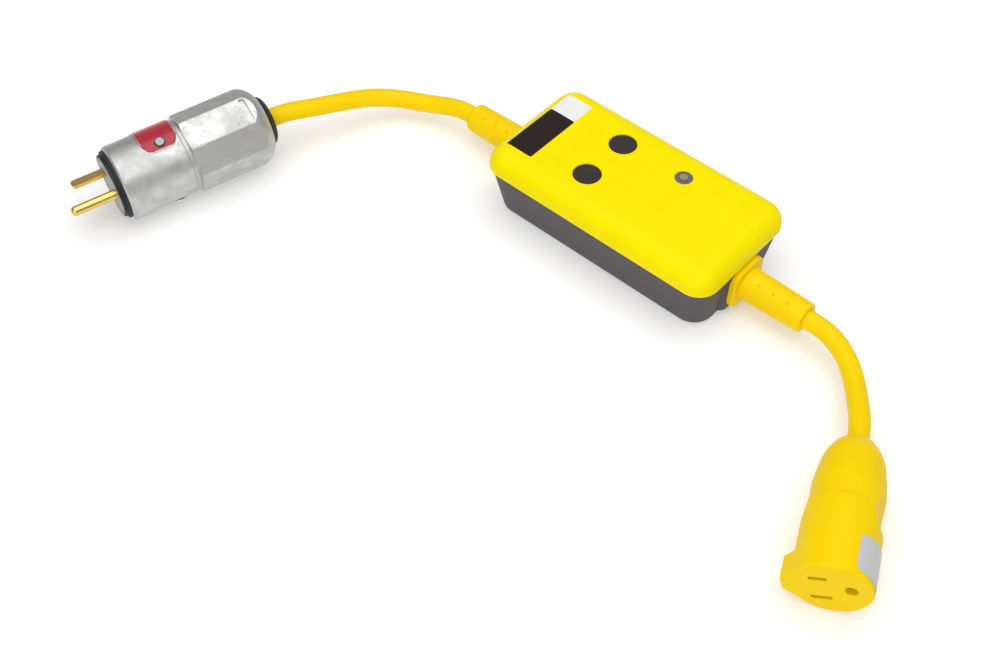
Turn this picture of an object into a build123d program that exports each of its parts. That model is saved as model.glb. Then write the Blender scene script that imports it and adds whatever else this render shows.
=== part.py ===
from build123d import *
import math
import os

# In-line RCD adapter cord set: cast metal plug, trip box and moulded connector on two short cords.
# Millimetres. The origin is under the middle of the trip box, on the surface it stands on.
# +X runs along the box from the line side to the load side, +Z is up.

# Trip box
case_length = 129.0
case_width = 66.5
case_height = 36.5
parting_share = 0.7123
corner_radius = 10.5
cover_edge_share = 0.857
foot_inset_x = 3.75
foot_inset_y = 6.15
foot_edge_radius = 1.8
cover_overhang = 0.8
wall = 2.5
cut_overrun = 1.0
face_gap = 0.05
slide_gap = 0.15

# Cord and its outlets
cord_diameter = 9.1
cord_height_share = 0.5385
outlet_pad_width = 28.0
outlet_pad_radius = 4.0
outlet_pad_bottom = 3.0
outlet_wall = 3.5
relief_flange_width = 22.4
relief_flange_share = 1.543
relief_flange_radius = 6.5
relief_flange_thickness = 3.0
relief_neck_share = 0.5286
relief_inner_thickness = 2.0
relief_root_share = 0.5786
relief_mouth_share = 0.5143
relief_length = 31.3
relief_rim_radius = 1.2
relief_dimple_radius = 0.8
relief_dimple_pitch = 7.5
relief_dimple_turn = 60.0

# Cord routes, chosen by hand, in order away from the box. The near points are steps from the mouth
# of each relief. The far points step from it along x and y, at a height above the floor.
line_near = [
    (0, 0, 0),
    (-5.1, 0, 0),
    (-13.2, -0.9, -0.8),
]
line_far = [
    (-27.2, -5.1, 9.9),
    (-41.0, -13.5, 11.3),
    (-50.2, -26.2, 14.7),
    (-55.7, -40.8, 17.7),
    (-60.9, -54.8, 20.2),
    (-66.5, -66.7, 22.13),
    (-68.8, -74.6, 21.85),
]
load_near = [
    (0, 0, 0),
    (8.9, 0, 0),
    (17.8, -2.3, -0.7),
]
load_far = [
    (27.1, -7.6, 12.3),
    (35.5, -16.0, 12.0),
    (42.4, -25.8, 14.6),
    (49.0, -35.2, 16.2),
    (52.6, -43.2, 16.2),
]
arc_share = 0.45

# Buttons, switches and indicator
button_x_share = -0.1318
button_y_share = 0.197
button_radius = 6.6
button_rim_width = 0.8
button_rim_height = 0.4
button_stand = 0.25
button_dish_depth = 0.5
button_dish_radius = 17.0
button_flange_width = 1.4
button_flange_thickness = 1.4
button_guide_depth = 1.5
button_stem_radius = 1.9
button_travel = 1.5
switch_side = 6.2
switch_height = 3.6
plunger_radius = 1.7
plunger_height = 3.1
plunger_rise = 2.0
spring_wire = 0.6
spring_radius = 5.4
spring_turns = 4
lens_x_share = 0.1333
lens_y_share = 0.218
lens_radius = 4.25
lens_flange_width = 1.1
lens_flange_thickness = 1.0
lens_crown_radius = 2.3
lens_crown_height = 0.6
led_radius = 2.5
led_height = 6.5
led_foot_height = 1.2

# Circuit board and what it carries
board_end_gap = 18.5
board_side_gap = 7.25
board_thickness = 1.6
board_height_share = 0.5205
board_corner_radius = 2.0
board_post_inset_x = 4.0
board_post_inset_y = 5.0
board_edge_gap = 2.0
board_post_radius = 3.0
small_screw_radius = 1.25
small_head_radius = 2.5
small_head_height = 1.7
small_screw_length = 8.0
toroid_share = 0.4158
toroid_bore_share = 0.506
toroid_thickness = 6.0
toroid_edge_radius = 1.2
toroid_first_share = -0.2609
toroid_pitch = 7.6
staple_radius = 1.2
staple_y = 1.8
staple_reach = 4.6
varistor_radius = 6.5
varistor_thickness = 4.2
varistor_x_share = -0.1304
capacitor_length = 17.5
capacitor_width = 8.0
capacitor_height = 12.5
capacitor_x_share = -0.1304
capacitor_edge = 0.8
chip_length = 10.0
chip_width = 6.4
chip_height = 2.2
chip_x_share = 0.0217
chip_y = -4.0
chip_pin_width = 0.5
chip_pin_reach = 1.0
chip_pin_pitch = 1.27
diode_radius = 1.35
diode_length = 5.0
diode_x_share = 0.2609
diode_pitch = 4.5
diode_y = -12.0
lead_radius = 0.35
lead_reach = 1.6
bridge_lift = 0.4
terminal_length = 7.0
terminal_width = 6.4
terminal_depth = 8.4
terminal_pitch = 9.0
terminal_x_share = 0.3967
terminal_bore_depth = 5.0
terminal_screw_radius = 1.2
terminal_head_radius = 1.9
terminal_head_height = 1.0
conductor_radius = 1.3
conductor_spread = 2.9
conductor_straight_share = 0.17

# Trip relay, hung under the board
relay_x_share = 0.0326
relay_y = 0.0
relay_base_share = 0.2935
relay_base_width = 20.0
relay_base_thickness = 2.0
yoke_thickness = 1.6
yoke_width = 12.0
yoke_arm_share = 0.2087
relay_drop_share = 0.684
core_radius_share = 0.324
core_length_share = 0.1674
core_drop_share = 0.389
bobbin_flange_share = 0.703
bobbin_flange_thickness = 1.0
bobbin_wall = 0.6
coil_share = 0.662
armature_gap = 0.6
armature_thickness = 1.4
armature_width = 11.0
armature_height_share = 0.563
armature_clearance = 0.2
pusher_thickness = 1.6
pusher_width = 19.0
pusher_height = 3.0
pusher_drop_share = 0.347
contact_arm_thickness = 0.3
contact_arm_width = 2.4
contact_arm_share = 0.295
contact_y = 8.0
contact_radius = 0.9
contact_depth = 0.7
contact_post_thickness = 1.0
contact_drop_share = 0.547
contact_gap = 0.6
fixed_contact_depth = 1.1
contact_reach = 1.3

# Cover screws and cord clamps
screw_post_inset_x = 10.5
screw_post_inset_y = 13.25
screw_post_radius = 3.8
screw_boss_radius = 4.2
screw_boss_height = 8.0
case_screw_radius = 1.5
case_screw_length = 13.0
case_head_radius = 3.0
case_head_height = 2.4
case_head_recess = 3.0
gasket_width = 1.4
gasket_depth = 0.8
gasket_inset = 0.3
clamp_length = 4.0
clamp_width = 20.0
clamp_thickness = 1.8
clamp_screw_y = 7.8
clamp_seat_drop = 1.0
tail_inset = 14.5

# Labels on the cover
label_thickness = 0.15
label_end_inset = 6.2
label_length = 14.6
label_split_inset = 23.25
dark_label_inset = 11.65
light_label_inset = 9.85
label_corner = 0.6

# Plug, along its own axis from the cord end to the pins
plug_bushing_radius = 12.6
plug_bushing_collar = 3.0
plug_bushing_lip = 8.6
bushing_radius_share = 0.9
bushing_height_share = 0.3
shoulder_radius_share = 0.72
shoulder_height_share = 0.42
plug_shell_start = 3.5
plug_shoulder_length = 9.0
plug_shoulder_radius = 13.6
plug_rear_end = 44.5
plug_shell_end = 79.5
plug_face_at = 82.6
plug_round_radius = 18.2
plug_corner_radius = 19.7
plug_flat_distance = 18.25
plug_groove_radius = 17.9
plug_groove_length = 1.7
plug_shell_wall = 1.3
plug_rim_edge = 0.9
plug_pad_rise = 0.7
plug_pad_length = 11.0
plug_pad_turn = 4.5
plug_pocket_length = 3.3
plug_pocket_width = 12.6
plug_pocket_depth = 1.0
plug_pocket_at = 12.2
round_end_share = 0.48
plug_flat_count = 8
plug_flat_turn = 3.0
plug_flat_edge_radius = 3.0
insert_radius = 15.6
insert_body_length = 22.0
insert_step = 4.0
insert_slot_length = 5.0
insert_slot_width = 1.1
insert_slot_depth = 1.0
insert_slot_x = -6.5
insert_notch_size = 2.4
insert_notch_x = -3.1
insert_ground_turn = 15.2
plug_gasket_rise = 1.5
blade_width = 6.35
blade_thickness = 1.52
blade_spacing = 12.7
blade_length = 16.2
blade_tail = 12.0
blade_tip_radius = 2.0
ground_distance = 11.9
ground_radius = 2.38
ground_length = 22.1
ground_tip_radius = 1.9
ground_tail_radius = 1.9
blade_offset = 3.4
plug_screw_radius = 1.6
plug_screw_length = 4.0
grip_length = 7.0
grip_width = 22.0
grip_thickness = 4.0
grip_at = 17.0
grip_screw_y = 8.0
grip_split = 1.0
plug_tail_length = 24.0

# Nameplate on the plug
nameplate_start = 46.3
nameplate_length = 18.4
nameplate_thickness = 0.5
nameplate_corner = 5.0
nameplate_first_angle = 18.5
nameplate_last_angle = 158.0
rivet_radius = 2.6
rivet_rise = 1.1
rivet_shank = 1.2
rivet_dome_share = 0.85
rivet_inset_angle = 12.8
shell_screw_radius = 3.0
shell_screw_rise = 1.6
shell_screw_turn = 96.0
plug_front_turn = 43.2

# Connector, along its own axis from the cord end to the socket face
connector_length = 69.3
connector_neck_radius = 5.8
connector_heel_radius = 9.2
connector_heel_at = 3.5
connector_shoulder_radius = 12.05
connector_shoulder_at = 9.0
connector_back_radius = 13.4
connector_back_at = 15.0
connector_waist_radius = 14.5
connector_waist_at = 23.0
connector_grip_radius = 15.2
connector_grip_at = 34.0
connector_front_radius = 15.85
connector_front_at = 46.0
connector_face_radius = 15.95
connector_edge_radius = 1.1
connector_turn = 17.5
lug_rise = 3.3
lug_width = 9.5
lug_length = 11.0
lug_radius = 2.4
lug_flare_turn = 52.0
dimple_depth = 2.2
dimple_radius = 20.0
slot_short = 6.9
slot_long = 8.2
slot_width = 2.1
socket_offset = 4.4
ground_hole_radius = 2.65
ground_hole_flat = 2.2
socket_skin = 5.0
carrier_length = 18.0
carrier_radius = 12.6
carrier_pocket_depth = 13.0
contact_thickness = 0.5
contact_length = 11.0
ground_sleeve_wall = 0.4
connector_label_length = 16.2
connector_label_at = 50.7
connector_label_first = -12.0
connector_label_last = 68.0

# Sizes that follow from the ones above
half_length = case_length / 2
half_width = case_width / 2
parting_height = parting_share * case_height
cover_edge_radius = cover_edge_share * (case_height - parting_height)
foot_length = case_length - 2 * foot_inset_x
foot_width = case_width - 2 * foot_inset_y
cord_radius = cord_diameter / 2
cord_height = cord_height_share * parting_height
relief_flange_height = relief_flange_share * cord_height
relief_neck_radius = relief_neck_share * cord_height
relief_root_radius = relief_root_share * cord_height
relief_mouth_radius = relief_mouth_share * cord_height
screw_post_x = half_length - screw_post_inset_x
screw_post_y = half_width - screw_post_inset_y
clamp_x = screw_post_x
tail_inner_x = half_length - tail_inset
inner_top = case_height - wall
outlet_face = half_length - cover_overhang
outlet_inner = outlet_face - outlet_wall
relief_mouth = outlet_face + relief_flange_thickness + relief_length
button_x = button_x_share * case_length
button_y = button_y_share * case_width
lens_x = lens_x_share * case_length
lens_y = lens_y_share * case_width
board_length = case_length - 2 * board_end_gap
board_width = case_width - 2 * board_side_gap
board_height = board_height_share * case_height
board_post_x = board_length / 2 - board_post_inset_x
board_post_y = board_width / 2 - board_post_inset_y
board_top = board_height + board_thickness
toroid_first_x = toroid_first_share * board_length
toroid_radius = toroid_share * board_height
toroid_bore = toroid_bore_share * toroid_radius
varistor_x = varistor_x_share * board_length
capacitor_x = capacitor_x_share * board_length
chip_x = chip_x_share * board_length
diode_x = diode_x_share * board_length
terminal_x = terminal_x_share * board_length
varistor_y = board_edge_gap + varistor_thickness / 2 - board_width / 2
capacitor_y = board_width / 2 - board_edge_gap - capacitor_width / 2
relay_x = relay_x_share * board_length
relay_base_length = relay_base_share * board_length
yoke_arm_length = yoke_arm_share * board_length
core_length = core_length_share * board_length
relay_drop = relay_drop_share * board_height
core_drop = core_drop_share * board_height
core_radius = core_radius_share * core_drop
bobbin_flange_radius = bobbin_flange_share * core_drop
coil_radius = coil_share * core_drop
armature_height = armature_height_share * board_height
pusher_drop = pusher_drop_share * board_height
contact_arm_height = contact_arm_share * board_height
contact_drop = contact_drop_share * board_height
label_left = label_end_inset - half_length
label_split = half_width - label_split_inset
dark_label_front = dark_label_inset - half_width
light_label_back = half_width - light_label_inset
button_hole_radius = button_radius + slide_gap
button_top = case_height + button_rim_height - button_stand
button_flange_top = inner_top - button_guide_depth - slide_gap
button_flange_bottom = button_flange_top - button_flange_thickness
switch_top = board_top + switch_height
plunger_top = switch_top + plunger_rise
lens_bottom = inner_top - lens_flange_thickness
steel_hole_gap = 0.1


def upright(radius, bottom, top, x=0, y=0):
    """A round pillar from one height to another."""
    pillar = Cylinder(radius, top - bottom, align=(Align.CENTER, Align.CENTER, Align.MIN))
    return Pos(x, y, bottom) * pillar


def block(length, width, bottom, top, x=0, y=0):
    """A plain block centred on x and y."""
    solid = Box(length, width, top - bottom, align=(Align.CENTER, Align.CENTER, Align.MIN))
    return Pos(x, y, bottom) * solid


def slab(length, width, radius, bottom, top, x=0, y=0):
    """A block with rounded upright corners."""
    return Pos(x, y, bottom) * extrude(RectangleRounded(length, width, radius), top - bottom)


def along_x(radius, start, end, y=0, z=0):
    """A round bar along X."""
    bar = Cylinder(radius, end - start, align=(Align.CENTER, Align.CENTER, Align.MIN))
    return Pos(start, y, z) * Rot(0, 90, 0) * bar


def along_y(radius, start, end, x=0, z=0):
    """A round bar along Y."""
    bar = Cylinder(radius, end - start, align=(Align.CENTER, Align.CENTER, Align.MIN))
    return Pos(x, start, z) * Rot(-90, 0, 0) * bar


def joined(pieces):
    """Separate solids kept together in one node."""
    return Compound(children=list(pieces))


def four_places(x, y):
    """The four corners of a rectangle about the origin."""
    return [(x, y), (-x, y), (x, -y), (-x, -y)]


# Trip box: cover and case
def cover_form(grow, bottom):
    """The outer form of the cover, swollen by grow, from a height up to its top."""
    top = case_height + grow
    body = slab(case_length + 2 * grow, case_width + 2 * grow, corner_radius + grow, bottom, top)
    return fillet(body.faces().sort_by(Axis.Z)[-1].edges(), cover_edge_radius + grow)


def cover_hollow():
    """The space inside the cover."""
    body = slab(
        case_length - 2 * wall,
        case_width - 2 * wall,
        corner_radius - wall,
        parting_height - cut_overrun,
        inner_top,
    )
    return fillet(body.faces().sort_by(Axis.Z)[-1].edges(), cover_edge_radius - wall)


def button_places():
    """The two buttons: reset at the back, test at the front."""
    return [(button_x, button_y), (button_x, -button_y)]


def top_cover():
    """Yellow cover with rimmed button holes, a lens hole and four screw posts."""
    cover = cover_form(0, parting_height) - cover_hollow()
    for x, y in button_places():
        rim = upright(button_hole_radius + button_rim_width, case_height - wall,
                      case_height + button_rim_height, x, y)
        rim = fillet(rim.faces().sort_by(Axis.Z)[-1].edges(), button_rim_height / 2)
        guide = upright(button_hole_radius + button_rim_width, inner_top - button_guide_depth,
                        case_height - wall / 2, x, y)
        cover += rim + guide
    for x, y in four_places(screw_post_x, screw_post_y):
        cover += upright(screw_post_radius, screw_boss_height + face_gap, inner_top + wall / 2, x, y)
    for x, y in button_places():
        cover -= upright(button_hole_radius, inner_top - button_guide_depth - cut_overrun,
                         case_height + button_rim_height + cut_overrun, x, y)
    cover -= upright(lens_radius + face_gap, inner_top - cut_overrun, case_height + cut_overrun,
                     lens_x, lens_y)
    for x, y in four_places(screw_post_x, screw_post_y):
        cover -= upright(case_screw_radius + face_gap, screw_boss_height - cut_overrun,
                         case_head_recess + case_screw_length + cut_overrun, x, y)
    return cover


def case_outline(height, inset):
    """The case's rounded outline at a height, drawn in by an inset."""
    share = height / parting_height
    length = foot_length + (case_length - 2 * cover_overhang - foot_length) * share
    width = foot_width + (case_width - 2 * cover_overhang - foot_width) * share
    outline = RectangleRounded(length - 2 * inset, width - 2 * inset, corner_radius - inset)
    return Pos(0, 0, height) * outline


def case_form():
    """The case's outer form, drawn in towards the foot, with an upright pad at each cord outlet."""
    body = loft([case_outline(0, 0).face(), case_outline(parting_height, 0).face()], ruled=True)
    body = fillet(body.faces().sort_by(Axis.Z)[0].edges(), foot_edge_radius)
    return body + slab(2 * outlet_face, outlet_pad_width, outlet_pad_radius, outlet_pad_bottom,
                       parting_height)


def case_hollow():
    """The space inside the case, kept back from the two outlet walls."""
    space = loft([case_outline(wall, wall).face(), case_outline(parting_height, wall).face()],
                 ruled=True)
    mouth = extrude(case_outline(parting_height, wall), cut_overrun)
    for side in (-1, 1):
        space -= block(2 * outlet_wall, outlet_pad_width, 0, parting_height + cut_overrun,
                       side * (outlet_inner + outlet_wall))
        mouth -= block(2 * outlet_wall, outlet_pad_width, 0, parting_height + 2 * cut_overrun,
                       side * (outlet_inner + outlet_wall))
    return space + mouth


def neck_outline(clearance):
    """The outline of a relief's neck and of its slot: half round below, square to the cover."""
    radius = relief_neck_radius - clearance
    top = parting_height - gasket_depth - clearance - cord_height
    round_part = Circle(radius)
    square_part = Pos(0, top / 2) * Rectangle(2 * radius, top)
    return Plane((0, 0, cord_height), x_dir=(0, 1, 0), z_dir=(1, 0, 0)) * (round_part + square_part)


def rim_ring(outer_inset, depth):
    """A flat ring on the case's rim, from an inset to the gasket's inner edge."""
    outer = case_outline(parting_height - gasket_depth, outer_inset)
    inner = case_outline(parting_height - gasket_depth, gasket_inset + gasket_width)
    return extrude(outer - inner, depth)


def bottom_case():
    """Dark case with outlet slots, board posts, screw bosses and cord seats."""
    case = case_form() - case_hollow()
    for x, y in four_places(board_post_x, board_post_y):
        case += upright(board_post_radius, wall / 2, board_height, x, y)
    for x, y in four_places(screw_post_x, screw_post_y):
        case += upright(screw_boss_radius, 0, screw_boss_height, x, y)
    seat_top = cord_height - clamp_seat_drop
    for side in (-1, 1):
        case += block(clamp_length, clamp_width, wall / 2, seat_top, side * clamp_x)
    case -= along_x(cord_radius + face_gap, -outlet_inner, outlet_inner, 0, cord_height)
    slot = extrude(neck_outline(0), 2 * (outlet_face + cut_overrun))
    slot = Pos(-(outlet_face + cut_overrun), 0, 0) * slot
    case -= slot - block(2 * outlet_inner, case_width, 0, case_height)
    for side in (-1, 1):
        opening = block(2 * cut_overrun + outlet_wall, 2 * relief_neck_radius,
                        parting_height - 2 * gasket_depth, parting_height + cut_overrun,
                        side * (outlet_face - outlet_wall / 2))
        case -= opening
    case -= rim_ring(-cut_overrun, 2 * gasket_depth)
    for side in (-1, 1):
        case -= Pos(0, 0, -slide_gap) * inner_flange(side, slide_gap)
    for x, y in four_places(board_post_x, board_post_y):
        case -= upright(small_screw_radius + face_gap, board_top - small_screw_length - cut_overrun,
                        board_height + cut_overrun, x, y)
    for x, y in four_places(screw_post_x, screw_post_y):
        case -= upright(case_head_radius + steel_hole_gap, -cut_overrun, case_head_recess, x, y)
        case -= upright(case_screw_radius + steel_hole_gap, 0, screw_boss_height + cut_overrun, x, y)
    for x, y in four_places(clamp_x, clamp_screw_y):
        case -= upright(small_screw_radius + face_gap, wall, seat_top + cut_overrun, x, y)
    return case


def case_gasket():
    """Soft seal ring between case and cover."""
    return rim_ring(gasket_inset, gasket_depth)


def pan_screw(radius, length, head_radius, head_height):
    """A screw with its head above z=0 and its shank below, with a cross recess."""
    screw = upright(head_radius, 0, head_height) + upright(radius, -length, 0)
    screw = fillet(screw.faces().sort_by(Axis.Z)[-1].edges(), head_height / 3)
    recess_depth = head_height / 2
    for turn in (0, 90):
        bar = Rot(0, 0, turn) * block(head_radius, radius / 2, head_height - recess_depth,
                                      head_height + recess_depth)
        screw -= bar
    return screw


def case_screws():
    """Four screws from below, through the case and into the cover's posts."""
    screw = pan_screw(case_screw_radius, case_screw_length, case_head_radius, case_head_height)
    turned = Pos(0, 0, case_head_recess) * Rot(180, 0, 0) * screw
    return joined(Pos(x, y, 0) * turned for x, y in four_places(screw_post_x, screw_post_y))


# Buttons and indicator
def button_cap(x, y):
    """A round button with a dished top, a holding flange and a stem to its switch."""
    cap = upright(button_radius, button_flange_bottom, button_top)
    cap = fillet(cap.faces().sort_by(Axis.Z)[-1].edges(), button_rim_height)
    dish_centre = button_top - button_dish_depth + button_dish_radius
    cap -= Pos(0, 0, dish_centre) * Sphere(button_dish_radius)
    cap += upright(button_radius + button_flange_width, button_flange_bottom, button_flange_top)
    cap += upright(button_stem_radius, plunger_top + face_gap, button_flange_bottom)
    return Pos(x, y, 0) * cap


def button_spring(x, y):
    """Return spring under a button, standing on the board round the switch."""
    height = button_flange_bottom - board_top - spring_wire - 2 * face_gap
    path = Helix(height / spring_turns, height, spring_radius)
    start = Plane(path @ 0, z_dir=path % 0)
    wire = sweep(start * Circle(spring_wire / 2), path=path, is_frenet=True)
    return Pos(x, y, board_top + spring_wire / 2 + face_gap) * wire


def switch_body(x, y):
    """Small push switch on the board, with a well for its plunger."""
    body = block(switch_side, switch_side, board_top, switch_top, x, y)
    body = fillet(body.edges().filter_by(Axis.Z), board_thickness / 4)
    well_bottom = plunger_top - plunger_height - button_travel - slide_gap
    return body - upright(plunger_radius + slide_gap / 2, well_bottom, switch_top + cut_overrun, x, y)


def switch_plunger(x, y):
    """The switch's moving stud."""
    stud = upright(plunger_radius, plunger_top - plunger_height, plunger_top, x, y)
    return fillet(stud.faces().sort_by(Axis.Z)[-1].edges(), plunger_radius / 4)


def indicator_lens():
    """Clear lens with a raised crown, held under the cover by its flange."""
    lens = upright(lens_radius, lens_bottom, case_height + face_gap)
    lens = fillet(lens.faces().sort_by(Axis.Z)[-1].edges(), lens_crown_height / 2)
    lens += upright(lens_radius + lens_flange_width, lens_bottom, inner_top)
    crown = upright(lens_crown_radius, case_height, case_height + lens_crown_height)
    lens += fillet(crown.faces().sort_by(Axis.Z)[-1].edges(), lens_crown_height / 2)
    guide_bottom = board_top + led_foot_height + led_height / 2
    sleeve = upright(led_radius + 2 * slide_gap + lens_flange_width, guide_bottom, lens_bottom)
    sleeve -= upright(led_radius + slide_gap, guide_bottom - cut_overrun, lens_bottom)
    return Pos(lens_x, lens_y, 0) * (lens + sleeve)


def indicator_lamp():
    """Domed lamp on the board under the lens."""
    lamp = upright(led_radius, board_top, board_top + led_foot_height + led_height)
    lamp = fillet(lamp.faces().sort_by(Axis.Z)[-1].edges(), led_radius - 2 * face_gap)
    return Pos(lens_x, lens_y, 0) * lamp


# Circuit board and its parts
def circuit_board():
    """The board, with holes for its screws."""
    board = slab(board_length, board_width, board_corner_radius, board_height, board_top)
    for x, y in four_places(board_post_x, board_post_y):
        board -= upright(small_screw_radius + steel_hole_gap, board_height - cut_overrun,
                         board_top + cut_overrun, x, y)
    return board


def board_screws():
    """Four screws that hold the board on its posts."""
    screw = pan_screw(small_screw_radius, small_screw_length, small_head_radius, small_head_height)
    return joined(Pos(x, y, board_top) * screw for x, y in four_places(board_post_x, board_post_y))


def toroid(start_x):
    """A wound ring core in its round case, with its bore along the conductors."""
    z = board_height - toroid_radius
    ring = along_x(toroid_radius, start_x, start_x + toroid_thickness, 0, z)
    ring = fillet(ring.edges(), toroid_edge_radius)
    return ring - along_x(toroid_bore, start_x - cut_overrun,
                          start_x + toroid_thickness + cut_overrun, 0, z)


def primary_staples():
    """Two stiff wires, bent like staples, from the board through both rings and back."""
    z = board_height - toroid_radius
    start_x = toroid_first_x - staple_reach
    end_x = toroid_first_x + toroid_pitch + toroid_thickness + staple_reach
    wires = []
    for side in (-1, 1):
        y = side * staple_y
        points = [(start_x, y, board_height), (start_x, y, z), (end_x, y, z), (end_x, y, board_height)]
        path = FilletPolyline(points, radius=2 * staple_radius)
        start = Plane(path @ 0, z_dir=path % 0)
        wires.append(sweep(start * Circle(staple_radius), path=path))
    return joined(wires)


def surge_varistor():
    """Round surge absorber standing under the board."""
    disc = along_y(varistor_radius, varistor_y - varistor_thickness / 2,
                   varistor_y + varistor_thickness / 2, varistor_x, board_height - varistor_radius)
    return fillet(disc.edges(), varistor_thickness / 4)


def filter_capacitor():
    """Boxed film capacitor under the board."""
    body = block(capacitor_length, capacitor_width, board_height - capacitor_height, board_height,
                 capacitor_x, capacitor_y)
    return chamfer(body.edges().filter_by(Axis.Z), capacitor_edge)


def control_chip():
    """Eight-legged control chip on top of the board."""
    body = block(chip_length, chip_width, board_top + chip_pin_width, board_top + chip_height,
                 chip_x, chip_y)
    legs_per_side = 4
    for index in range(legs_per_side):
        x = chip_x + (index - (legs_per_side - 1) / 2) * chip_pin_pitch
        body += block(chip_pin_width, chip_width + 2 * chip_pin_reach, board_top,
                      board_top + chip_pin_width + chip_pin_width / 2, x, chip_y)
    return body


def leaded_part(radius, length, x, y):
    """A small round part lying above the board on two bent leads."""
    z = board_top + bridge_lift + radius
    part = along_y(radius, y - length / 2, y + length / 2, x, z)
    part = fillet(part.edges(), radius / 3)
    reach = length / 2 + lead_reach
    lead = along_y(lead_radius, y - reach, y + reach, x, z)
    part += lead
    for side in (-1, 1):
        part += upright(lead_radius, board_top, z, x, y + side * (reach - lead_radius))
    return part


def rectifier_diodes():
    """Four diodes in a row."""
    return joined(leaded_part(diode_radius, diode_length, diode_x + index * diode_pitch, diode_y)
                  for index in range(4))


def terminal_rows(side):
    """The three terminal places on one end of the board."""
    return [(side * terminal_x, (index - 1) * terminal_pitch) for index in range(3)]


def terminals():
    """Six brass terminal blocks, three under each end of the board."""
    blocks = []
    for side in (-1, 1):
        outer = side * (terminal_x + terminal_length / 2)
        for x, y in terminal_rows(side):
            body = block(terminal_length, terminal_width, board_height - terminal_depth,
                         board_height, x, y)
            bore = along_x(conductor_radius + face_gap, -terminal_bore_depth, terminal_bore_depth)
            body -= Pos(outer, y, cord_height) * bore
            body -= upright(terminal_screw_radius + face_gap,
                            board_height - terminal_depth - cut_overrun, cord_height, x, y)
            blocks.append(body)
    return joined(blocks)


def terminal_screws():
    """Six screws that pinch the conductors from below."""
    length = cord_height - conductor_radius - (board_height - terminal_depth) - face_gap
    screw = pan_screw(terminal_screw_radius, length, terminal_head_radius, terminal_head_height)
    turned = Pos(0, 0, board_height - terminal_depth) * Rot(180, 0, 0) * screw
    places = terminal_rows(1) + terminal_rows(-1)
    return joined(Pos(x, y, 0) * turned for x, y in places)


def conductor_set():
    """Three insulated wires from the cut end of the load cord to its terminals."""
    wires = []
    inner_end = terminal_x + terminal_length / 2 - terminal_bore_depth + face_gap
    block_face = terminal_x + terminal_length / 2
    for index in (-1, 0, 1):
        near_y = index * conductor_spread
        far_y = index * terminal_pitch
        if index == 0:
            wires.append(along_x(conductor_radius, inner_end, tail_inner_x, 0, cord_height))
            continue
        straight = (tail_inner_x - block_face) * conductor_straight_share
        points = [
            (tail_inner_x, near_y, cord_height),
            (tail_inner_x - straight, near_y, cord_height),
            (block_face + straight, far_y, cord_height),
            (inner_end, far_y, cord_height),
        ]
        path = FilletPolyline(points, radius=conductor_radius)
        start = Plane(path @ 0, z_dir=path % 0)
        wires.append(sweep(start * Circle(conductor_radius), path=path))
    return wires


def conductors():
    """The insulated wires of both cords."""
    wires = conductor_set()
    return joined(wires + [wire.mirror(Plane.YZ) for wire in wires])


# Trip relay
def relay_base():
    """Moulded relay base against the underside of the board."""
    bottom = board_height - relay_base_thickness
    return block(relay_base_length, relay_base_width, bottom, board_height,
                 relay_x + relay_base_length / 2, relay_y)


def relay_top():
    """Height of the underside of the relay base."""
    return board_height - relay_base_thickness


def relay_yoke():
    """Bent iron yoke: a back plate and an arm along the base."""
    top = relay_top()
    back = block(yoke_thickness, yoke_width, top - relay_drop, top,
                 relay_x + yoke_thickness / 2, relay_y)
    arm = block(yoke_arm_length, yoke_width, top - yoke_thickness, top,
                relay_x + yoke_arm_length / 2, relay_y)
    return back + arm


def core_end():
    """Where the core's pole face is along X."""
    return relay_x + yoke_thickness + core_length


def relay_core():
    """Iron core on the back plate."""
    return along_x(core_radius, relay_x + yoke_thickness, core_end(), relay_y, relay_top() - core_drop)


def relay_bobbin():
    """Bobbin with two round flanges on the core."""
    z = relay_top() - core_drop
    start = relay_x + yoke_thickness + face_gap
    end = core_end() - armature_gap
    bobbin = along_x(core_radius + face_gap + bobbin_wall, start, end, relay_y, z)
    bobbin += along_x(bobbin_flange_radius, start, start + bobbin_flange_thickness, relay_y, z)
    bobbin += along_x(bobbin_flange_radius, end - bobbin_flange_thickness, end, relay_y, z)
    return bobbin - along_x(core_radius + face_gap, start - cut_overrun, end + cut_overrun, relay_y, z)


def relay_coil():
    """Copper winding between the flanges."""
    z = relay_top() - core_drop
    start = relay_x + yoke_thickness + 2 * face_gap + bobbin_flange_thickness
    end = core_end() - armature_gap - bobbin_flange_thickness - face_gap
    coil = along_x(coil_radius, start, end, relay_y, z)
    bore = core_radius + 2 * face_gap + bobbin_wall
    return coil - along_x(bore, start - cut_overrun, end + cut_overrun, relay_y, z)


def relay_armature():
    """Iron armature with a round top edge, on which it rocks at the end of the yoke's arm."""
    x = core_end() + armature_gap + armature_thickness / 2
    top = relay_top() - yoke_thickness - armature_clearance
    rocker_z = top - armature_thickness / 2
    plate = block(armature_thickness, armature_width, top - armature_height, rocker_z, x, relay_y)
    return plate + along_y(armature_thickness / 2, relay_y - armature_width / 2,
                           relay_y + armature_width / 2, x, rocker_z)


def relay_pusher():
    """Moulded bar on the armature that carries the contact arms."""
    top = relay_top() - pusher_drop
    inner = core_end() + armature_gap + armature_thickness
    return block(pusher_thickness, pusher_width, top - pusher_height, top,
                 inner + pusher_thickness / 2, relay_y)


def moving_contacts():
    """Two sprung contact arms with their contact points."""
    top = relay_top() - pusher_drop
    inner = core_end() + armature_gap + armature_thickness + pusher_thickness
    point_z = relay_top() - contact_drop - contact_reach
    arms = []
    for side in (-1, 1):
        y = relay_y + side * contact_y
        arm = block(contact_arm_thickness, contact_arm_width, top - contact_arm_height, top,
                    inner + contact_arm_thickness / 2, y)
        arms.append(arm + along_x(contact_radius, inner - contact_depth, inner, y, point_z))
    return joined(arms)


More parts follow.
